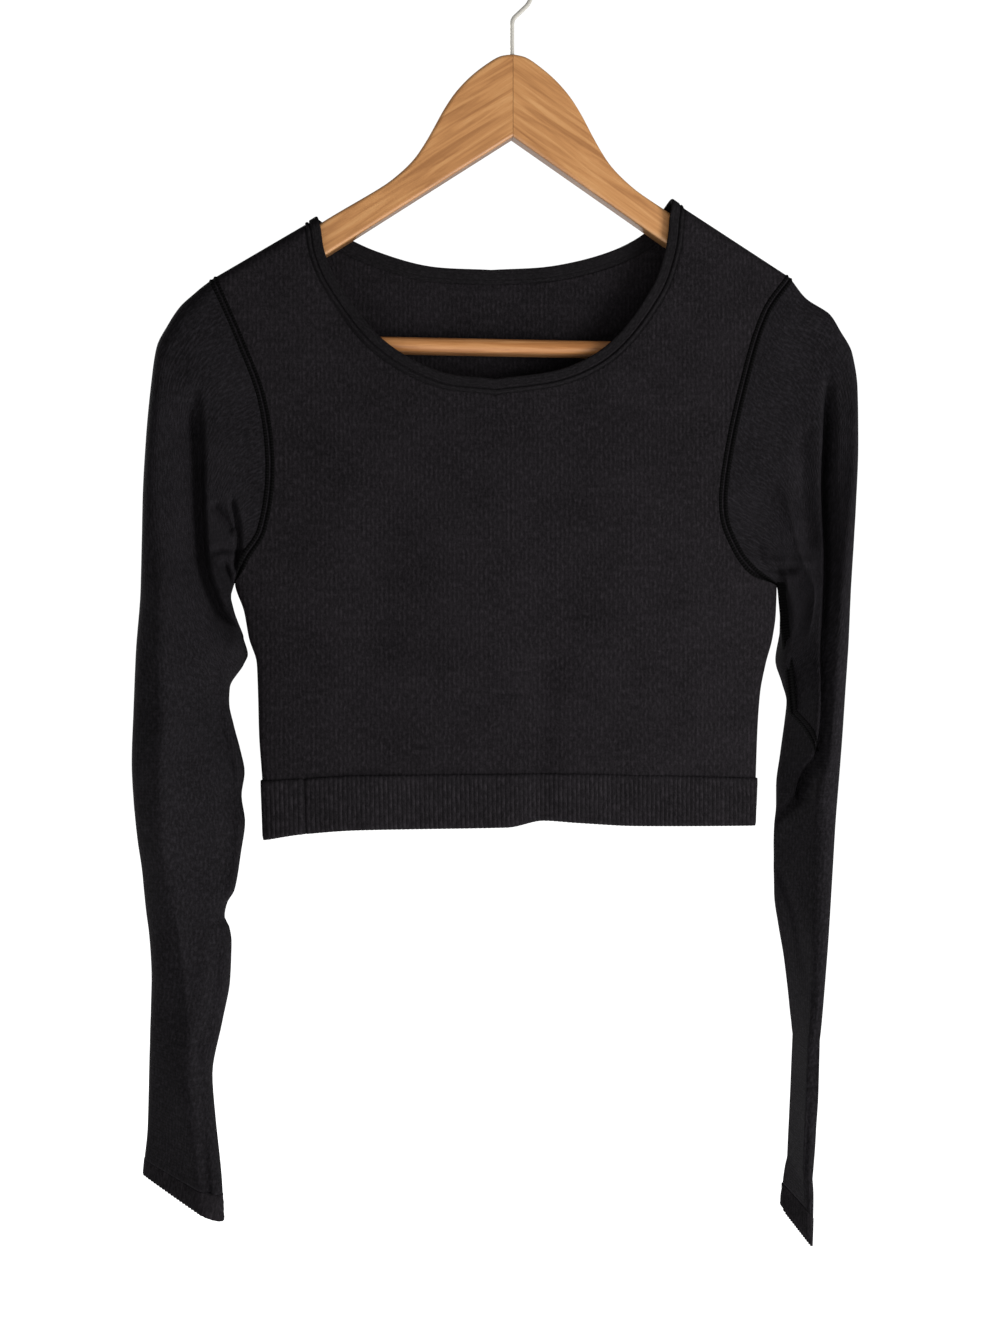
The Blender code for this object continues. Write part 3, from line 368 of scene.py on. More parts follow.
def distances(points):
    """How far along a line each of its points lies."""
    keys = [0.0]
    for a, b in zip(points, points[1:]):
        keys.append(keys[-1] + math.dist(a, b))
    return keys


def path(points, share):
    """The place at a share of the way along a smooth line through points."""
    keys = distances(points)
    return tuple(swing(axis, keys, share * keys[-1]) for axis in zip(*points))


def mix(a, b, share):
    return a + (b - a) * share


def ease(share):
    share = min(max(share, 0.0), 1.0)
    return share * share * (3 - 2 * share)


def bulge(share):
    """Height of a quarter round, from 0 at its foot to 1 at its top."""
    return math.sqrt(1 - (1 - min(max(share, 0.0), 1.0)) ** 2)


# ---- the garment's own form --------------------------------------------------------------
def shoulder(x):
    return SHOULDERS["left" if x < NECK_CENTRE else "right"]


def below_crest(x, z):
    """How far a place lies below the shoulder line."""
    row = shoulder(x)
    return row.z_neck - row.slope * max(0.0, abs(x) - abs(row.x_neck)) - z


def skin(face, x, z, across, opening):
    """A point of the body's skin.  across is 0 in the middle and 1 at the side, and opening is
    0 where the side is folded and 1 where an armhole holds it open."""
    full = read(BODY, face, "z", z) * (1 - CROWN * across ** 2)
    side = max(0.0, 1 - across ** SIDE_POWER) ** (1 / SIDE_POWER)
    y = full * mix(side, 1.0, opening) * bulge(below_crest(x, z) / CREST_ROUND)
    return Vector((x, -y if face == "front" else y, z))


def armhole(side, face, share):
    """x, z and opening at a share of the way from the underarm to the shoulder."""
    x, z = path([(getattr(row, face), row.z) for row in ARMHOLES[side]], share)
    return x, z, bulge((z - ARMHOLES[side][0].z) / UNDERARM_ROUND)


def armhole_shares(side):
    """Steps up the armhole: round the underarm, along the face, then over the shoulder."""
    length = distances([(row.front, row.z) for row in ARMHOLES[side]])[-1]
    turns = [1 - math.cos(QUARTER * step / END_STEPS) for step in range(END_STEPS + 1)]
    low = [UNDERARM_ROUND / length * turn for turn in turns]
    high = [1 - CREST_ROUND / length * turn for turn in reversed(turns)]
    return low + [mix(low[-1], high[0], step / FACE_STEPS) for step in range(1, FACE_STEPS)] + high


def panel_rows(side, face):
    """Ends of each row of half a panel: (inner x, inner z, outer x, outer z, opening)."""
    neck = NECK[(side, face)]
    underarm = ARMHOLES[side][0]
    ends = []
    for j in range(LOWER_ROWS):
        share = j / LOWER_ROWS
        inner = mix(read(HEM, "top", "x", 0.0), underarm.z, share)
        outer = mix(read(HEM, "top", "x", underarm.front), underarm.z, share)
        ends.append((NECK_CENTRE * share / 2, inner, read(BODY, side, "z", outer), outer, 0.0))
    shares = armhole_shares(side)
    begin = NECK_STEP[face]
    over = len(shares) - 1 - END_STEPS
    turned = CREST_ROUND / distances(neck)[-1]
    for j, share in enumerate(shares):
        if j <= begin:
            up = j / begin
            inner = (NECK_CENTRE * (1 + up) / 2, mix(underarm.z, neck[0][1], up))
        elif j <= over:
            inner = path(neck, (j - begin) / (over - begin) * (1 - turned))
        else:
            inner = path(neck, 1 - turned * (1 - math.cos(QUARTER * (len(shares) - 1 - j) / END_STEPS)))
        ends.append((*inner, *armhole(side, face, share)))
    return ends


def panel_point(face, ends, i, j):
    """Point of a panel's skin, i steps out from its inner edge on row j."""
    inner_x, inner_z, outer_x, outer_z, opening = ends[j]
    above = ease((j - LOWER_ROWS) / END_STEPS)
    across = mix(math.sin(QUARTER * i / COLUMNS), i / COLUMNS, above)
    x = mix(inner_x, outer_x, across)
    z = mix(inner_z, outer_z, across) if j else read(HEM, "top", "x", x)
    return skin(face, x, z, min(1.0, abs(mix(inner_x / outer_x, 1.0, across))), opening)


def ring_offsets(length, half):
    """(along, away) in mm for each place round a ring: down its front from the outer end to
    the inner end, then back up behind.  The ends are rounded."""
    reach = min(half, length)
    turns = [step / END_STEPS * QUARTER for step in range(END_STEPS + 1)]
    out = [(length - reach + reach * math.cos(turn), half * math.sin(turn)) for turn in turns]
    flat = [((length - reach) * (1 - 2 * (step / FACE_STEPS)), half) for step in range(1, FACE_STEPS)]
    inner = [(-along, away) for along, away in reversed(out)]
    places = out + flat + inner
    return [(along, -away) for along, away in places] + places[-2:0:-1]


def sleeve_ring(side, v):
    """The sleeve's skin as a ring of points: v = 0 is the first ring, 1 the edge of the cuff."""
    keys = range(len(SLEEVES[side]))
    y_out, z_out, x_in, y_in, z_in, half, bow = (
        spline(column, keys, v * keys[-1]) for column in zip(*SLEEVES[side])
    )
    if z_in < INNER_EDGE[side][0][1]:
        x_in = edge_at(INNER_EDGE[side], z_in)
    kept = mix(1.0, LOWER_TWIST[side], ease((v - ELBOW[0]) / (ELBOW[1] - ELBOW[0])))
    outer = Vector((edge_at(OUTER_EDGE[side], z_out), y_out * kept, z_out))
    inner = Vector((x_in, y_in * kept, z_in))
    half *= kept
    middle = (outer + inner) / 2
    reach = (outer - inner) / 2
    run = Vector((-reach.z, 0, reach.x)) * (1.0 if side == "left" else -1.0)
    run.normalize()
    away = run.cross(reach).normalized()
    if away.y < 0:
        away = -away
    flat = Vector((reach.x, 0, reach.z))
    spread = abs(away.dot(flat.normalized())) * half
    shrink = math.sqrt(max(flat.length ** 2 - spread ** 2, 0.0)) / flat.length
    reach = Vector((reach.x * shrink, reach.y, reach.z * shrink))
    return [
        middle + reach.normalized() * along + away * off
        - run * bow * max(0.0, 1 - (along / reach.length) ** 2)
        for along, off in ring_offsets(reach.length, half)
    ]


def armhole_ring(side):
    """The armhole seam as a ring of points, in the same order as a sleeve's rings."""
    shares = armhole_shares(side)
    ring = []
    for face, steps in (("front", shares[::-1]), ("back", shares[1:-1])):
        for share in steps:
            x, z, opening = armhole(side, face, share)
            ring.append(skin(face, x, z, 1.0, opening))
    return ring


def normals_of(points, faces):
    """Smooth normals of a skin, from the faces round each point."""
    sums = [Vector((0, 0, 0)) for _ in points]
    for face in faces:
        corner = [points[i] for i in face]
        area = (corner[2] - corner[0]).cross(corner[3] - corner[1])
        for i in face:
            sums[i] += area
    return [total.normalized() for total in sums]


def beside_armhole(side, ring, low):
    """The panels' normals along the armhole, and the points beside it on their skin.  low is
    the ring's place at the underarm."""
    normals, beside = [], []
    for face in FACES:
        ends = panel_rows(side, face)
        points = [
            panel_point(face, ends, i, j)
            for j in range(LOWER_ROWS - 1, len(ends)) for i in (COLUMNS - 1, COLUMNS)
        ]
        faces = [[k, k + 2, k + 3, k + 1] for k in range(0, len(points) - 2, 2)]
        turn = 1 if (side == "left") == (face == "back") else -1
        normals.append([n * turn for n in normals_of(points, faces)[3::2]])
        beside.append(points[2::2])
    crest, underarm = normals[0][-1] + normals[1][-1], normals[0][0] + normals[1][0]
    normals = normals[0][::-1] + normals[1][1:-1]
    beside = beside[0][::-1] + beside[1][1:-1]
    beside[low] = ring[low] - UP
    normals[0], normals[low] = crest.normalized(), underarm.normalized()
    return normals, beside


def armhole_frames(side):
    """Round the armhole: each point, the normal that body and sleeve share there, and the
    ways along the body's skin and along the sleeve's skin."""
    ring, first = armhole_ring(side), sleeve_ring(side, 0.0)
    body_normals, beside = beside_armhole(side, ring, len(armhole_shares(side)) - 1)
    count = len(ring)
    faces = [[i, (i + 1) % count, count + (i + 1) % count, count + i] for i in range(count)]
    turn = -1 if side == "left" else 1
    sleeve_normals = [n * turn for n in normals_of(ring + first, faces)[:count]]
    frames = []
    for i, point in enumerate(ring):
        along = (ring[(i + 1) % count] - ring[i - 1]).normalized()
        outer = along.cross(sleeve_normals[i]).normalized()
        if outer.dot(first[i] - point) < 0:
            outer = -outer
        inner = along.cross(body_normals[i]).normalized()
        if inner.dot(beside[i] - point) < 0:
            inner = -inner
        across = outer - inner
        across = (across - along * across.dot(along)).normalized()
        frames.append((point, (along.cross(across) * turn).normalized(), inner, outer))
    return frames


def neck_ring():
    """The binding's sewn line as a ring: down the left front, up the right, over the back."""
    edges = {}
    for side in SIDES:
        for face in FACES:
            ends = panel_rows(side, face)
            first = LOWER_ROWS + NECK_STEP[face]
            edges[(side, face)] = [panel_point(face, ends, 0, j) for j in range(first, len(ends))]
    ring = edges[("left", "front")][::-1] + edges[("right", "front")][1:]
    return ring + edges[("right", "back")][-2::-1] + edges[("left", "back")][1:-1]


def neck_axes(point, along):
    """Direction to the folded edge and outward normal, at one point of the sewn line."""
    turn = min(below_crest(point.x, point.z) / CREST_ROUND, 1.0) * QUARTER
    lean = math.atan(shoulder(point.x).slope)
    top = Vector((math.copysign(math.sin(lean), point.x), 0, math.cos(lean)))
    outward = top * math.cos(turn) + DEPTH * math.copysign(math.sin(turn), point.y)
    outward = (outward - along * outward.dot(along)).normalized()
    inward = along.cross(outward).normalized()
    if inward.dot(Vector((NECK_CENTRE, 0, NECK_MIDDLE)) - point) < 0:
        inward = -inward
    return inward, outward


# ---- creases and soft unevenness ---------------------------------------------------------
def press(piece, face, points, share):
    """Pushes points (an array in mm) in or out by the creases of one face of a piece."""
    flat = points[..., (0, 2)]
    move = np.zeros(flat.shape[:-1])
    for crease in rows(Crease, *CREASES.get((piece, face), ())):
        steps = np.linspace(0, 1, 8 * len(crease.line))
        line = np.array([path(crease.line, step) for step in steps])
        nearest = np.full(move.shape, np.inf)
        on_right, along = np.zeros(move.shape, bool), np.zeros(move.shape)
        for k, (start, end) in enumerate(zip(line, line[1:])):
            way = end - start
            ratio = np.clip(((flat - start) @ way) / np.hypot(*way) ** 2, 0, 1)
            off = flat - (start + ratio[..., None] * way)
            gap = np.hypot(off[..., 0], off[..., 1])
            closer = gap < nearest
            nearest = np.where(closer, gap, nearest)
            on_right = np.where(closer, off[..., 0] * -way[1] + off[..., 1] * way[0] > 0, on_right)
            along = np.where(closer, (k + ratio) / (len(line) - 1), along)
        form = nearest / np.where(on_right, crease.right, crease.left)
        form = np.exp(-form if crease.depth < 0 else -form ** 2)
        ends = np.clip(np.minimum(along, 1 - along) * 6, 0, 1)
        move += crease.depth * form * ends * ends * (3 - 2 * ends)
    points[..., 1] += (1.0 if face == "front" else -1.0) * move * share


def unevenness(points, waves, share):
    """Slow soft waves of the hanging knit, across the faces."""
    size, height, seed = waves
    flat = points.reshape(-1, 3)
    lift = np.array([noise.noise(Vector((x / size, seed, z / (size * 1.7)))) for x, _, z in flat])
    points[..., 1] += lift.reshape(points.shape[:-1]) * height * share


def off_fold(points):
    """0 on the folds at the body's sides and along its crest, and 1 on its flat faces."""
    return np.clip(np.abs(points[..., 1]) / CREST_ROUND - 0.2, 0, 1)


# ---- meshes ------------------------------------------------------------------------------
def array_of(grid):
    return np.array([[tuple(point) for point in row] for row in grid])


def column_pairs(u):
    return np.stack([u[:, :-1], u[:, 1:]], -1)


def row_lengths(points):
    """Distance along each row of a grid of points."""
    across = np.linalg.norm(np.diff(points, axis=1), axis=2)
    return np.concatenate([np.zeros((len(points), 1)), np.cumsum(across, axis=1)], 1)


def closed(grid):
    return np.concatenate([grid, grid[:, :1]], 1)


def raised(grid, height):
    """Moves a closed grid's points out along the flat normal of their ring."""
    way = np.roll(grid, -1, axis=1) - np.roll(grid, 1, axis=1)
    away = np.stack([way[..., 1], -way[..., 0], np.zeros(way.shape[:2])], -1)
    away /= np.maximum(np.linalg.norm(away, axis=2, keepdims=True), 1e-9)
    middle = grid.mean(axis=1, keepdims=True)
    outward = np.sign(((grid - middle) * away).sum(axis=(1, 2), keepdims=True))
    return grid + away * outward * height[..., None]


def show(name, data, finish):
    made = bpy.data.objects.new(name, data)
    bpy.context.collection.objects.link(made)
    data.materials.append(finish)
    return made


def knit_mesh(name, patches, finish):
    """One mesh from patches of (points, u, v, whether its rows are rings, whether its faces
    turn over): u holds a start and an end for every column."""
    corners, faces, places = [], [], []
    for points, u, v, ring, flip in patches:
        index = np.arange(points.shape[0] * points.shape[1]).reshape(points.shape[:2]) + len(corners)
        after = np.roll(index, -1, axis=1) if ring else index[:, 1:]
        index = index if ring else index[:, :-1]
        quads = np.stack([index[:-1], after[:-1], after[1:], index[1:]], -1).reshape(-1, 4)
        start, end = u[..., 0], u[..., 1]
        low = v if ring else v[:, :-1]
        high = np.roll(v, -1, axis=1) if ring else v[:, 1:]
        pairs = zip((start[:-1], end[:-1], end[1:], start[1:]), (low[:-1], high[:-1], high[1:], low[1:]))
        uv = np.stack([np.stack(pair, -1) for pair in pairs], -2).reshape(-1, 4, 2)
        if flip:
            quads, uv = quads[:, ::-1], uv[:, ::-1]
        corners += points.reshape(-1, 3).tolist()
        faces += quads.tolist()
        places.append(uv.reshape(-1, 2))
    mesh = bpy.data.meshes.new(name)
    mesh.from_pydata([[c * MM for c in corner] for corner in corners], [], faces)
    layer = mesh.uv_layers.new(name="cloth")
    layer.data.foreach_set("uv", (np.concatenate(places) * MM).ravel())
    mesh.shade_smooth()
    return show(name, mesh, finish)


def rework(mesh, weld=False, cap_sides=0, turn_out=True):
    """Joins points that lie on each other, fills the round ends, and turns the faces out."""
    work = bmesh.new()
    work.from_mesh(mesh)
    if weld:
        bmesh.ops.remove_doubles(work, verts=work.verts, dist=WELD_REACH * MM)
    if cap_sides:
        bmesh.ops.holes_fill(work, edges=work.edges, sides=cap_sides)
    if turn_out:
        bmesh.ops.recalc_face_normals(work, faces=work.faces)
    work.to_mesh(mesh)
    work.free()
    mesh.shade_smooth()


def give_thickness(made):
    wall = made.modifiers.new("knit", "SOLIDIFY")
    wall.thickness = WALL * MM
    wall.offset = -1.0
    wall.use_even_offset = False
    wall.use_quality_normals = True


def finish_piece(made, slot, *nodes):
    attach(made, "root")
    if nodes:
        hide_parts(*nodes)
    return made


# ---- body --------------------------------------------------------------------------------
def body(finish):
    """Front and back as one tube of knit, open at the neck, the armholes and the hem."""
    patches = []
    for face in FACES:
        for side in SIDES:
            ends = panel_rows(side, face)
            grid = array_of([
                [panel_point(face, ends, i, j) for i in range(COLUMNS + 1)] for j in range(len(ends))
            ])
            if side == "left":
                middle = grid[:LOWER_ROWS + NECK_STEP[face] + 1, 0].copy()
            grid[:len(middle), 0] = middle
            share = off_fold(grid) * np.clip((COLUMNS - np.arange(COLUMNS + 1)) / EDGE_COLUMNS, 0, 1)[None, :]
            flat = grid.copy()
            flat[..., 2] = 0
            u = grid[:, :1, 0] + row_lengths(flat) * (1 if side == "right" else -1)
            u += 500 if face == "back" else 0
            v = grid[..., 2].copy()
            press("body", face, grid, share)
            unevenness(grid, BODY_WAVES[face], share)
            grid[0, :, 2] -= UNDER_BAND
            flip = (side == "left") == (face == "front")
            patches.append((grid, column_pairs(u), v, False, flip))
    made = knit_mesh("body_knit", patches, finish)
    rework(made.data, weld=True, turn_out=False)
    give_thickness(made)
    return finish_piece(made, "knit", "front", "back")


# ---- sleeves -----------------------------------------------------------------------------
def ring_u(grid):
    """Distance round every ring from its outer end: positive on the front, negative behind."""
    across = row_lengths(closed(grid))
    half = grid.shape[1] // 2
    u = column_pairs(across)
    u[:, half:] -= across[:, -1:, None]
    return u


def tube_v(grid):
    steps = np.linalg.norm(np.diff(grid, axis=0), axis=2).mean(axis=1)
    return np.repeat(-np.concatenate([[0], np.cumsum(steps)])[:, None], grid.shape[1], 1)


def sleeve_grid(side):
    """Rings from the armhole to the cuff, with the head of the sleeve drawn out smoothly."""
    first, second = sleeve_ring(side, 0.0), sleeve_ring(side, 0.01)
    heads = list(zip(armhole_frames(side), first, second))
    grid = []
    for j in range(SLEEVE_HEAD):
        t = j / SLEEVE_HEAD
        ring = []
        for (point, _, _, outer), a, b in heads:
            reach = (a - point).length
            ring.append(
                point * (2 * t ** 3 - 3 * t ** 2 + 1) + a * (3 * t ** 2 - 2 * t ** 3)
                + outer * reach * (t ** 3 - 2 * t ** 2 + t)
                + (b - a).normalized() * reach * (t ** 3 - t ** 2)
            )
        grid.append(ring)
    return array_of(grid + [sleeve_ring(side, CUFF_START * j / SLEEVE_ROWS) for j in range(SLEEVE_ROWS + 1)])


def crease_sleeve(side, grid):
    """Presses the creases into the front and back halves of a sleeve's rings."""
    half = grid.shape[1] // 2
    for face, columns in (("front", slice(0, half + 1)), ("back", slice(half, None))):
        part = grid[:, columns].copy()
        place = np.arange(part.shape[1])
        last = part.shape[1] - (1 if face == "front" else 0)
        edge = np.clip(np.minimum(place, last - place) / EDGE_COLUMNS, 0, 1)
        head = np.clip(np.arange(len(grid)) / SLEEVE_HEAD, 0, 1)
        share = (edge * edge * (3 - 2 * edge))[None, :] * head[:, None]
        press("sleeve_" + side, face, part, share)
        unevenness(part, SLEEVE_WAVES[side], share)
        grid[:, columns] = part


def tube(name, side, grid, rib, finish, slot, node_name):
    """A length of sleeve with its creases, and with ribs that stand up from it."""
    u, v = ring_u(grid), tube_v(grid)
    crease_sleeve(side, grid)
    if rib:
        grid = raised(grid, np.sin(2 * math.pi * u[..., 0] / RIB_PITCH) * rib)
    made = knit_mesh(name, [(grid, u, v, True, side == "left")], finish)
    give_thickness(made)
    return finish_piece(made, slot, node_name)


def sleeve(side, finish):
    return tube("sleeve_knit_" + side, side, sleeve_grid(side), 0, finish, "knit", "sleeve_" + side)


def cuff(side, finish):
    rings = [sleeve_ring(side, mix(CUFF_START, 1.0, j / CUFF_ROWS)) for j in range(CUFF_ROWS + 1)]
    return tube("cuff_rib_" + side, side, array_of(rings), CUFF_RIB, finish, "rib", "cuff_" + side)


# ---- hem band ----------------------------------------------------------------------------
def hem_place(face, i, level):
    """A point of the band, i steps along a face and level of the way up it."""
    share = math.sin(math.pi * (i / HEM_STEPS - 0.5))
    x = HEM_REACH * share
    z = mix(read(HEM, "bottom", "x", x), read(HEM, "top", "x", x), level)
    edge = read(BODY, "left" if x < 0 else "right", "z", z)
    point = skin(face, edge * abs(share), z, abs(share), 0.0)
    if i in (0, HEM_STEPS):
        point.y = 0.0
    return point


def even_rings(grid, step):
    """The same rings with their points spread evenly, about step mm apart."""
    rings = closed(grid)
    total = row_lengths(rings)
    count = int(round(total[:, -1].mean() / step))
    out = []
    for ring, length in zip(rings, total):
        at = np.linspace(0, length[-1], count, endpoint=False)
        out.append(np.stack([np.interp(at, length, ring[:, axis]) for axis in range(3)], -1))
    return np.array(out)


def hem_band(finish):
    """The rib band round the bottom of the body, rib by rib."""
    grid = array_of([
        [hem_place("front", i, j / HEM_ROWS) for i in range(HEM_STEPS + 1)]
        + [hem_place("back", i, j / HEM_ROWS) for i in range(HEM_STEPS - 1, 0, -1)]
        for j in range(HEM_ROWS + 1)
    ])
    half = HEM_STEPS + 1
    for face, columns in (("front", slice(0, half)), ("back", slice(half, None))):
        part = grid[:, columns].copy()
        share = off_fold(part)
        press("hem_band", face, part, share)
        if face == "back":
            press("body", face, part, share)
        unevenness(part, BODY_WAVES[face], share)
        grid[:, columns] = part
    grid = even_rings(grid, RIB_STEP)
    u, v = ring_u(grid), tube_v(grid)
    ribs = np.sin(2 * math.pi * u[..., 0] / RIB_PITCH)
    levels = np.linspace(0, 1, len(grid))[:, None]
    fade = np.clip((1 - levels) * 9, 0, 1)
    roll = HEM_ROLL * np.clip(1 - levels * 12, 0, 1) ** 2
    grid = raised(grid, ribs * HEM_RIB * fade + roll + BAND_PROUD)
    made = knit_mesh("hem_rib", [(grid, u, -v, True, True)], finish)
    give_thickness(made)
    return finish_piece(made, "rib", "hem_band")


# ---- neck binding and seams --------------------------------------------------------------
def binding_section():
    """Outline of the folded strip: (towards the folded edge, outwards), in mm."""
    def grooves(at, deep, wide):
        return sum(deep * math.exp(-((at - g) / wide) ** 2) for g in BINDING_GROOVES)

    top, bottom = [], []
    for i in range(BINDING_STEPS + 1):
        at = BINDING_WIDTH * i / BINDING_STEPS
        fold = math.sqrt(max(0.0, 1 - max(0.0, (at - BINDING_WIDTH + FOLD_ROUND) / FOLD_ROUND) ** 2))
        sewn = min(1.0, 0.35 + at / 0.9)
        top.append((at, 0.40 * BINDING_THICK * fold * sewn - grooves(at, 1.35, 0.5)))
        bottom.append((at, -0.46 * BINDING_THICK * fold + 0.6 * grooves(at, 0.4, 0.42)))
    return top + bottom[-2::-1]


def neck_binding(finish):
    """Knit folded over the neck's edge: rounded at the fold, with two stitched grooves."""
    ring = neck_ring()
    section = binding_section()
    grid = []
    for i, point in enumerate(ring):
        along = (ring[(i + 1) % len(ring)] - ring[i - 1]).normalized()
        inward, away = neck_axes(point, along)
        grid.append([point + inward * a + away * b for a, b in section])
    grid = array_of(grid + grid[:1])
    v = np.repeat(np.array(distances(ring + ring[:1]))[:, None], len(section), 1)
    u = np.repeat(column_pairs(np.array([distances(section + section[:1])])), len(grid), 0)
    made = knit_mesh("neck_binding_fold", [(grid, u, v, True, False)], finish)
    rework(made.data, weld=True)
    return finish_piece(made, "binding", "neck_binding")


def seam_profile(width):
    """Cross-section of a flat overlocked seam: two ridges with a groove between them."""
    profile = []
    for i in range(13):
        at = i / 6 - 1
        high = 0.75 * math.exp(-((abs(at) - 0.52) / 0.26) ** 2) - 0.25 * math.exp(-(at / 0.16) ** 2)
        profile.append((at * width / 2, high - 0.35 * max(0.0, (abs(at) - 0.82) / 0.18)))
    return profile


def seam_piece(name, grid, profile, finish, node_name):
    grid = array_of(grid)
    u = column_pairs(np.repeat(np.array([a for a, _ in profile])[None], len(grid), 0))
    v = np.repeat(row_lengths(grid[None, :, len(profile) // 2]).T, len(profile), 1)
    made = knit_mesh(name, [(grid, u, v, False, False)], finish)
    rework(made.data)
    return finish_piece(made, "seam_thread", node_name)


def armhole_seam(side, finish):
    """The flat seam round the armhole, half on the body and half on the sleeve."""
    frames = armhole_frames(side)
    low = len(armhole_shares(side)) - 1
    profile = seam_profile(STRIP_WIDTH)
    grid = [
        [point + (outer if a > 0 else inner) * abs(a) + normal * b for a, b in profile]
        for point, normal, inner, outer
        in frames[low + SEAM_STOP["back"]:] + frames[:low - SEAM_STOP["front"] + 1]
    ]
    return seam_piece("armhole_seam_line_" + side, grid, profile, finish, "armhole_seam_" + side)


def sleeve_seam(side, sleeve_piece, finish):
    """The underarm seam, laid on the creased sleeve where it shows."""
    tree = bvhtree.BVHTree.FromObject(sleeve_piece, bpy.context.evaluated_depsgraph_get())
    line = UNDERARM_SEAM[side]
    profile = seam_profile(SLEEVE_STRIP)
    count = int(distances(line)[-1] / SEAM_STEP)
    inward = DEPTH * (1.0 if side == "right" else -1.0)
    grid = []
    for step in range(count + 1):
        x, z = path(line, step / count)
        before, after = path(line, max(step - 1, 0) / count), path(line, min(step + 1, count) / count)
        way = Vector((after[0] - before[0], 0, after[1] - before[1])).normalized()
        hits = []
        for a, _ in profile:
            place = Vector((x - way.z * a, 0, z + way.x * a))
            hits.append(tree.ray_cast((place - inward * 80) * MM, inward)[0])
        if all(hit is not None for hit in hits):
            grid.append([hit / MM - inward * (b + SEAM_LIFT) for hit, (_, b) in zip(hits, profile)])
    return seam_piece("sleeve_seam_line_" + side, grid, profile, finish, "sleeve_seam_" + side)


# ---- hanger ------------------------------------------------------------------------------
def wing_outline():
    """The board's outline with its points close together, rounded at the tip and straight
    along the underside."""
    start, end = WING_TIP
    top, tip, under = WING[:start + 1], WING[start:end + 1], WING[end:]
    outline = [top[0]]
    for part, steps in ((top, 150), (tip, 24), (under, 40)):
        outline += [path(part, i / steps) for i in range(1, steps + 1)]
    return np.array(outline)


def board(side, finish):
    """One half of the hanger's board, sawn to its outline with the arrises rounded over."""
    sign = -1.0 if side == "left" else 1.0
    line = wing_outline()
    way = np.gradient(line, axis=0)
    inward = np.stack([way[:, 1], -way[:, 0]], -1)
    inward /= np.linalg.norm(inward, axis=1, keepdims=True)
    inward[0], inward[-1] = (0, -1), (0, 1)
    half = BOARD_THICK / 2
    layers = [(BOARD_EASE + 0.8, -half), (BOARD_EASE + 0.4, -half)]
    for k in range(7):
        turn = QUARTER * k / 6
        layers.append((BOARD_EASE * (1 - math.sin(turn)), -half + BOARD_EASE * (1 - math.cos(turn))))
    layers += [(inset, -y) for inset, y in reversed(layers)]
    work = bmesh.new()
    loops = []
    for inset, y in layers:
        ring = line + inward * inset
        ring[:, 0] = np.maximum(ring[:, 0], 0.0) + BOARD_JOIN
        loops.append([work.verts.new((sign * x * MM, y * MM, z * MM)) for x, z in ring])
    for a, b in zip(loops, loops[1:]):
        for corners in zip(a, a[1:] + a[:1], b[1:] + b[:1], b):
            work.faces.new(corners)
    work.faces.new(loops[0])
    work.faces.new(loops[-1][::-1])
    bmesh.ops.recalc_face_normals(work, faces=work.faces)
    layer = work.loops.layers.uv.new("grain")
    fall = math.radians(GRAIN_SLOPE)
    for face in work.faces:
        for corner in face.loops:
            x, y, z = abs(corner.vert.co.x), corner.vert.co.y, corner.vert.co.z
            along = x * math.cos(fall) - z * math.sin(fall) + GRAIN_SHIFT[side]
            corner[layer].uv = (along, x * math.sin(fall) + z * math.cos(fall) + y * 0.35)
    mesh = bpy.data.meshes.new("board_" + side)
    work.to_mesh(mesh)
    work.free()
    mesh.shade_smooth()
    mesh.set_sharp_from_angle(angle=SHARP_ANGLE)
    return finish_piece(show("board_" + side, mesh, finish), "board_wood", "hanger_wing_" + side)


def bar(finish):
    """The turned rail through the board's wings, with its ends in the wood."""
    steps, sides = 120, 40
    grid = []
    for i in range(steps + 1):
        x = mix(-BAR_END, BAR_END, i / steps)
        ring = []
        for k in range(sides):
            turn = 4 * QUARTER * k / sides
            out, up = math.sin(turn), math.cos(turn)
            radius = BAR_RADIUS - BAR_UNEVEN + BAR_UNEVEN * noise.noise(Vector((x / 30, up, out)))
            ring.append((x, -radius * out, BAR_CENTRE + radius * up))
        grid.append(ring)
    grid = np.array(grid)
    u = np.repeat(column_pairs(np.linspace(0, 36, sides + 1)[None]), steps + 1, 0)
    made = knit_mesh("rail", [(grid, u, grid[..., 0], True, False)], finish)
    rework(made.data, cap_sides=sides)
    made.data.set_sharp_from_angle(angle=SHARP_ANGLE)
    return finish_piece(made, "bar_wood", "hanger_bar")


def hook_route():
    """Centre line of the hook in its own plane: (out, up)."""
    radius = HOOK_INNER + HOOK_RADIUS
    lean = math.radians(HOOK_LEAN)
    join_out = radius * math.cos(lean)
    join_up = -HOOK_INNER - radius * math.sin(lean)
    straight = (join_out - HOOK_BEND * (1 - math.cos(lean))) / math.sin(lean)
    bend_up = join_up - straight * math.cos(lean) - HOOK_BEND * math.sin(lean)
    route = [(0.0, HOOK_STEM_END), (0.0, mix(HOOK_STEM_END, bend_up, 0.5)), (0.0, bend_up)]
    for step in range(1, 13):
        angle = lean * step / 12
        route.append((HOOK_BEND * (1 - math.cos(angle)), bend_up + HOOK_BEND * math.sin(angle)))
    for step in range(73):
        angle = mix(-lean, math.radians(HOOK_END), step / 72)
        route.append((radius * math.cos(angle), -HOOK_INNER + radius * math.sin(angle)))
    return route


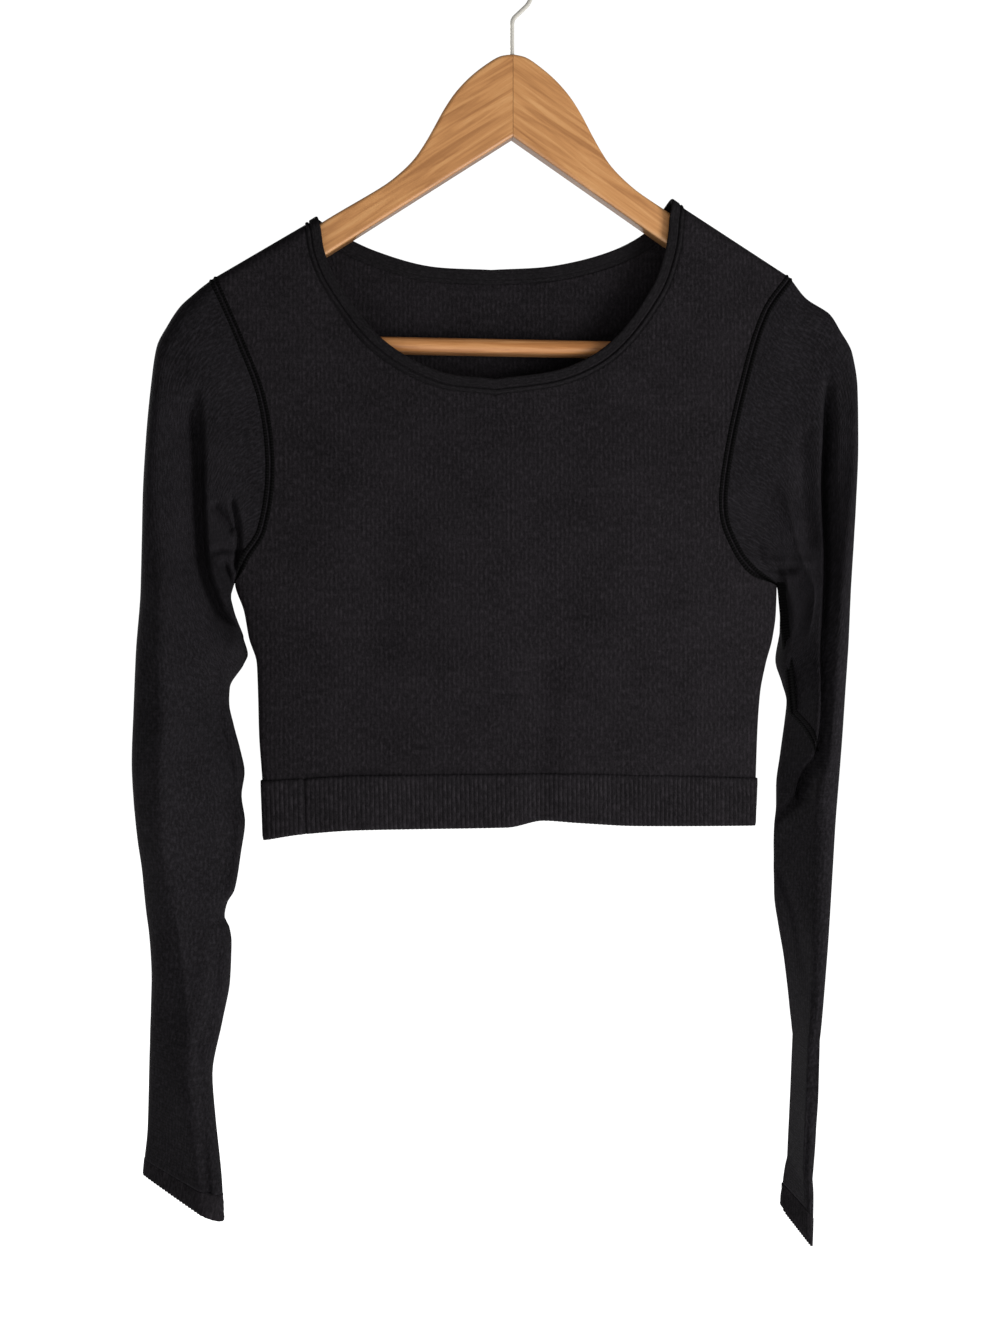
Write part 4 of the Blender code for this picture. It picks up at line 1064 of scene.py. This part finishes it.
def hook(finish):
    turn = math.radians(HOOK_TURN)
    route = hook_route()
    wire_line = bpy.data.curves.new("hook_wire", "CURVE")
    wire_line.dimensions = "3D"
    wire_line.bevel_depth = HOOK_RADIUS * MM
    wire_line.bevel_resolution = 8
    wire_line.use_fill_caps = True
    line = wire_line.splines.new("POLY")
    line.points.add(len(route) - 1)
    for point, (out, up) in zip(line.points, route):
        point.co = (*Vector((out * math.cos(turn), out * math.sin(turn), up)) * MM, 1.0)
    line.points[-1].radius = 0.7
    line.use_smooth = True
    return finish_piece(show("hook_wire", wire_line, finish), "hook_steel", "hanger_hook")


# ---- finishes ----------------------------------------------------------------------------
# A wave texture counts 20 radians to its unit of length, so this makes one stripe of it.
STRIPE = 0.31416


def hex_colour(code):
    """An sRGB hex colour as linear values."""
    levels = [int(code[k:k + 2], 16) / 255 for k in (0, 2, 4)]
    linear = [c / 12.92 if c <= 0.04045 else ((c + 0.055) / 1.055) ** 2.4 for c in levels]
    return (*linear, 1.0)


def put(tree, made, settings):
    """Sets a node.  Each setting is a value, or the socket that a value comes from."""
    for name, value in settings.items():
        if isinstance(value, bpy.types.NodeSocket):
            tree.links.new(value, made.inputs[name])
        elif isinstance(name, int) or name in made.inputs:
            made.inputs[name].default_value = value
        else:
            setattr(made, name, value)


def node(tree, kind, settings):
    """Adds a node of a kind, and sets it."""
    made = tree.nodes.new(kind)
    put(tree, made, settings)
    return made


def new_finish(name):
    made = bpy.data.materials.new(name)
    made.use_nodes = True
    return made, made.node_tree


def complete(made, relief, strength, reach, settings):
    """Gives a finish its fine relief, reach mm deep, and what its surface is like."""
    tree = made.node_tree
    bump = node(tree, "ShaderNodeBump", {"Strength": strength, "Distance": reach * MM, "Height": relief})
    put(tree, tree.nodes["Principled BSDF"], {"Normal": bump.outputs[0], **settings})
    return made


def cloth_place(tree, layer):
    return node(tree, "ShaderNodeUVMap", {"uv_map": layer}).outputs["UV"]


def solid_place(tree):
    return node(tree, "ShaderNodeTexCoord", {}).outputs["Object"]


def scaled(tree, place, across, along):
    """A place on the cloth, measured in steps of across and along mm."""
    size = (1 / (across * MM), 1 / (along * MM), 1.0)
    return node(tree, "ShaderNodeMapping", {"Scale": size, "Vector": place}).outputs[0]


def speckle(tree, place, scale, detail, settings):
    return node(tree, "ShaderNodeTexNoise", {
        "Vector": place, "Scale": scale, "Detail": detail, **settings}).outputs[0]


def stripes(tree, place, direction, pitch, settings):
    return node(tree, "ShaderNodeTexWave", {
        "wave_type": "BANDS", "bands_direction": direction, "Vector": place,
        "Scale": STRIPE / (pitch * MM), **settings}).outputs["Fac"]


def spread(tree, value, start, end, low, high):
    return node(tree, "ShaderNodeMapRange", {0: value, 1: start, 2: end, 3: low, 4: high}).outputs[0]


def times(tree, value, by):
    return node(tree, "ShaderNodeMath", {"operation": "MULTIPLY", 0: value, 1: by}).outputs[0]


def added(tree, value, by, to):
    """value times by, added to something."""
    return node(tree, "ShaderNodeMath", {"operation": "MULTIPLY_ADD", 0: value, 1: by, 2: to}).outputs[0]


def tinted(tree, share, low, high):
    """The colour a share of the way from low to high."""
    return node(tree, "ShaderNodeMix", {"data_type": "RGBA", 0: share, 6: low, 7: high}).outputs[2]


def knitted(name, low, high, rib, rib_depth, dash, evenness):
    """Rib knit in a marled yarn: matt, nearly black, with lighter flecks of the yarn on the tops of
    the ribs and fewer in the grooves between them, which is painted shade in the grooves.  u runs
    across the ribs and v along them; evenness is how strongly that painted groove shade shows, and
    how deep the ribs' relief is.  Courses are drawn coarser than the 1.2 mm they measure, or they would be
    lost."""
    made, tree = new_finish(name)
    cloth, solid = cloth_place(tree, "cloth"), solid_place(tree)
    ribs = stripes(tree, cloth, "X", rib, {"Distortion": 0.9, "Detail": 2.0, "Detail Scale": 2.2})
    courses = stripes(tree, cloth, "Y", 2.1, {"Distortion": 2.4, "Detail": 2.0, "Detail Scale": 1.4})
    flecks = speckle(tree, scaled(tree, cloth, rib * 0.55, dash), 1.0, 3.0, {"Roughness": 0.6})
    fibre = speckle(tree, solid, 1 / (0.9 * MM), 4.0, {"Roughness": 0.7})
    slow = speckle(tree, solid, 1 / (26 * MM), 3.0, {})
    # Painted shade: the lighter flecks are thinned in the grooves between the ribs, so the grooves come out
    # darker; the flecks themselves are the marled yarn's own colour.
    groove_shade = spread(tree, ribs, 0.0, 1.0, 1.0 - evenness, 1.0)
    flecks_with_groove_shade = times(tree, spread(tree, flecks, 0.44, 0.72, 0.0, 1.0), groove_shade)
    tone = added(tree, slow, 0.35, added(tree, flecks_with_groove_shade, 0.62, fibre))
    blend = spread(tree, tone, 0.42, 1.25, 0.0, 1.0)
    relief = added(tree, fibre, 0.8, added(tree, courses, 0.25, times(tree, ribs, evenness)))
    return complete(made, relief, 0.75, rib_depth, {
        "Base Color": tinted(tree, blend, hex_colour(low), hex_colour(high)),
        "Roughness": 0.92, "Specular IOR Level": 0.04,
    })


def stitched(name, low, high):
    """Overlocked seam thread: black cotton in fine rungs across the seam, a little duller
    and darker than the knit."""
    made, tree = new_finish(name)
    rungs = stripes(tree, cloth_place(tree, "cloth"), "Y", 1.9, {"Distortion": 1.2})
    fibre = speckle(tree, solid_place(tree), 1 / (0.7 * MM), 3.0, {})
    return complete(made, rungs, 0.8, 0.35, {
        "Base Color": tinted(tree, times(tree, rungs, fibre), hex_colour(low), hex_colour(high)),
        "Roughness": 0.88, "Specular IOR Level": 0.04,
    })


def wood(name, pale, mid, dark, layer, along, across):
    """Hardwood under clear lacquer: warm, streaked along the grain, with fine dark pores, a
    soft gloss, and painted shade: faces turned downwards are darkened towards a dark brown."""
    made, tree = new_finish(name)
    place = cloth_place(tree, layer)
    grain = speckle(tree, scaled(tree, place, along, across), 1.0, 5.0, {"Roughness": 0.5, "Distortion": 0.9})
    pores = speckle(tree, scaled(tree, place, along / 6, across / 7), 1.0, 3.0, {"Roughness": 0.6})
    ramp = node(tree, "ShaderNodeValToRGB", {0: grain})
    stops = ramp.color_ramp.elements
    stops.new(0.52)
    for stop, at, code in zip(stops, (0.30, 0.52, 0.72), (dark, mid, pale)):
        stop.position, stop.color = at, hex_colour(code)
    pored = tinted(tree, spread(tree, pores, 0.56, 0.74, 0.0, 0.55), ramp.outputs[0], hex_colour(dark))
    # Painted shade: the more a face turns downwards, the more it is darkened towards 3A2616, standing in for
    # the shade under the board and the rail.
    normal = node(tree, "ShaderNodeNewGeometry", {}).outputs["True Normal"]
    up = node(tree, "ShaderNodeSeparateXYZ", {0: normal}).outputs[2]
    return complete(made, pores, 0.25, 0.12, {
        "Base Color": tinted(tree, spread(tree, up, -0.55, -0.80, 0.0, 0.72), pored, hex_colour("3A2616")),
        "Roughness": 0.42, "IOR": 1.5, "Coat Weight": 0.25, "Coat Roughness": 0.25,
    })


def drawn_wire(name, tint):
    """Bright drawn steel wire: a soft sheen with faint lines along it."""
    made, tree = new_finish(name)
    lines = speckle(tree, solid_place(tree), 1 / (0.5 * MM), 3.0, {})
    return complete(made, lines, 0.12, 0.05, {
        "Base Color": hex_colour(tint), "Metallic": 0.45,
        "Roughness": spread(tree, lines, 0.3, 0.7, 0.22, 0.38),
    })


def painted_floor():
    """Matt white floor, lit from below like a light table, with a faint unevenness."""
    made, tree = new_finish("white_floor_paint")
    return complete(made, speckle(tree, solid_place(tree), 90.0, 3.0, {}), 0.1, 0.4, {
        "Base Color": hex_colour("F2F2F2"), "Roughness": 0.9,
        "Emission Color": hex_colour("FFFFFF"), "Emission Strength": 1.0,
    })


# ---- the whole object --------------------------------------------------------------------
knit = knitted("marled_rib_knit", "0B0A0B", "262326", RIB_PITCH, 0.5, 3.6, 0.45)
sleeve_knit = knitted("marled_sleeve_knit", "0A090A", "232124", RIB_PITCH, 0.45, 3.4, 0.32)
rib = knitted("rib_band_knit", "0B0A0B", "292629", RIB_PITCH, 0.3, 4.6, 0.6)
trim = knitted("binding_knit", "0C0B0C", "1F1D1F", 1.9, 0.3, 3.0, 0.3)
thread = stitched("seam_thread", "030303", "121112")
board_wood = wood("lacquered_wood", "C3915D", "B5804D", "99673A", "grain", 60.0, 4.2)
bar_wood = wood("lacquered_rail_wood", "C28B57", "AE7541", "90592A", "cloth", 3.2, 60.0)
wire = drawn_wire("drawn_steel_wire", "E2DED4")

body_knit = body(knit)
hem = hem_band(rib)
binding = neck_binding(trim)
for side, length, area, around_wrist in (
    ("left", 0.60, 0.088, (0.12, 0.022)), ("right", 0.64, 0.086, (0.09, 0.022)),
):
    arm = sleeve(side, sleeve_knit)
    wrist = cuff(side, rib)
    round_seam = armhole_seam(side, thread)
    long_seam = sleeve_seam(side, arm, thread)
    board(side, board_wood)
bar(bar_wood)
hook(wire)

# ---- floor, light and camera -------------------------------------------------------------
FLOOR_REACH, FLOOR_HEIGHT = 9, -1.25
ground = [(x * FLOOR_REACH, y * FLOOR_REACH, 0) for x, y in ((-1, -1), (1, -1), (1, 1), (-1, 1))]
floor_mesh = bpy.data.meshes.new("floor")
floor_mesh.from_pydata(ground, [], [(0, 1, 2, 3)])
floor = show("floor", floor_mesh, painted_floor())
floor.location = (0, 0, FLOOR_HEIGHT)

SOFT_LIGHT = 0.2          # light from all round the white studio
WHITE_WALL = 1.05         # how bright the studio's wall is to look at
sky = bpy.data.worlds.new("white_studio")
sky.use_nodes = True
seen = node(sky.node_tree, "ShaderNodeLightPath", {}).outputs["Is Camera Ray"]
put(sky.node_tree, sky.node_tree.nodes["Background"], {
    "Color": hex_colour("FFFFFF"),
    "Strength": spread(sky.node_tree, seen, 0.0, 1.0, SOFT_LIGHT, WHITE_WALL),
})
bpy.context.scene.world = sky


def soft_box(name, place, target, size, power):
    lamp = bpy.data.lights.new(name, "AREA")
    lamp.shape = "RECTANGLE"
    lamp.size, lamp.size_y = size
    lamp.energy = power
    made = bpy.data.objects.new(name, lamp)
    made.location = place
    made.rotation_euler = (Vector(target) - Vector(place)).to_track_quat("-Z", "Y").to_euler()
    bpy.context.collection.objects.link(made)


soft_box("key", (1.05, -0.85, -0.52), (0, 0, -0.48), (0.5, 0.8), 17.5)
soft_box("back_fill", (-1.3, 1.7, 0.3), (0, 0, -0.45), (1.2, 1.2), 22.0)

lens = bpy.data.cameras.new("camera")
lens.sensor_width = 36.0
lens.lens = 49.86
camera = bpy.data.objects.new("camera", lens)
aim = Vector((-0.00785, 0.0, -0.465))
camera.location = (-0.1437, -1.1923, -0.465)
camera.rotation_euler = (aim - camera.location).to_track_quat("-Z", "Y").to_euler()
bpy.context.collection.objects.link(camera)
bpy.context.scene.camera = camera
bpy.context.scene.view_settings.view_transform = "Standard"
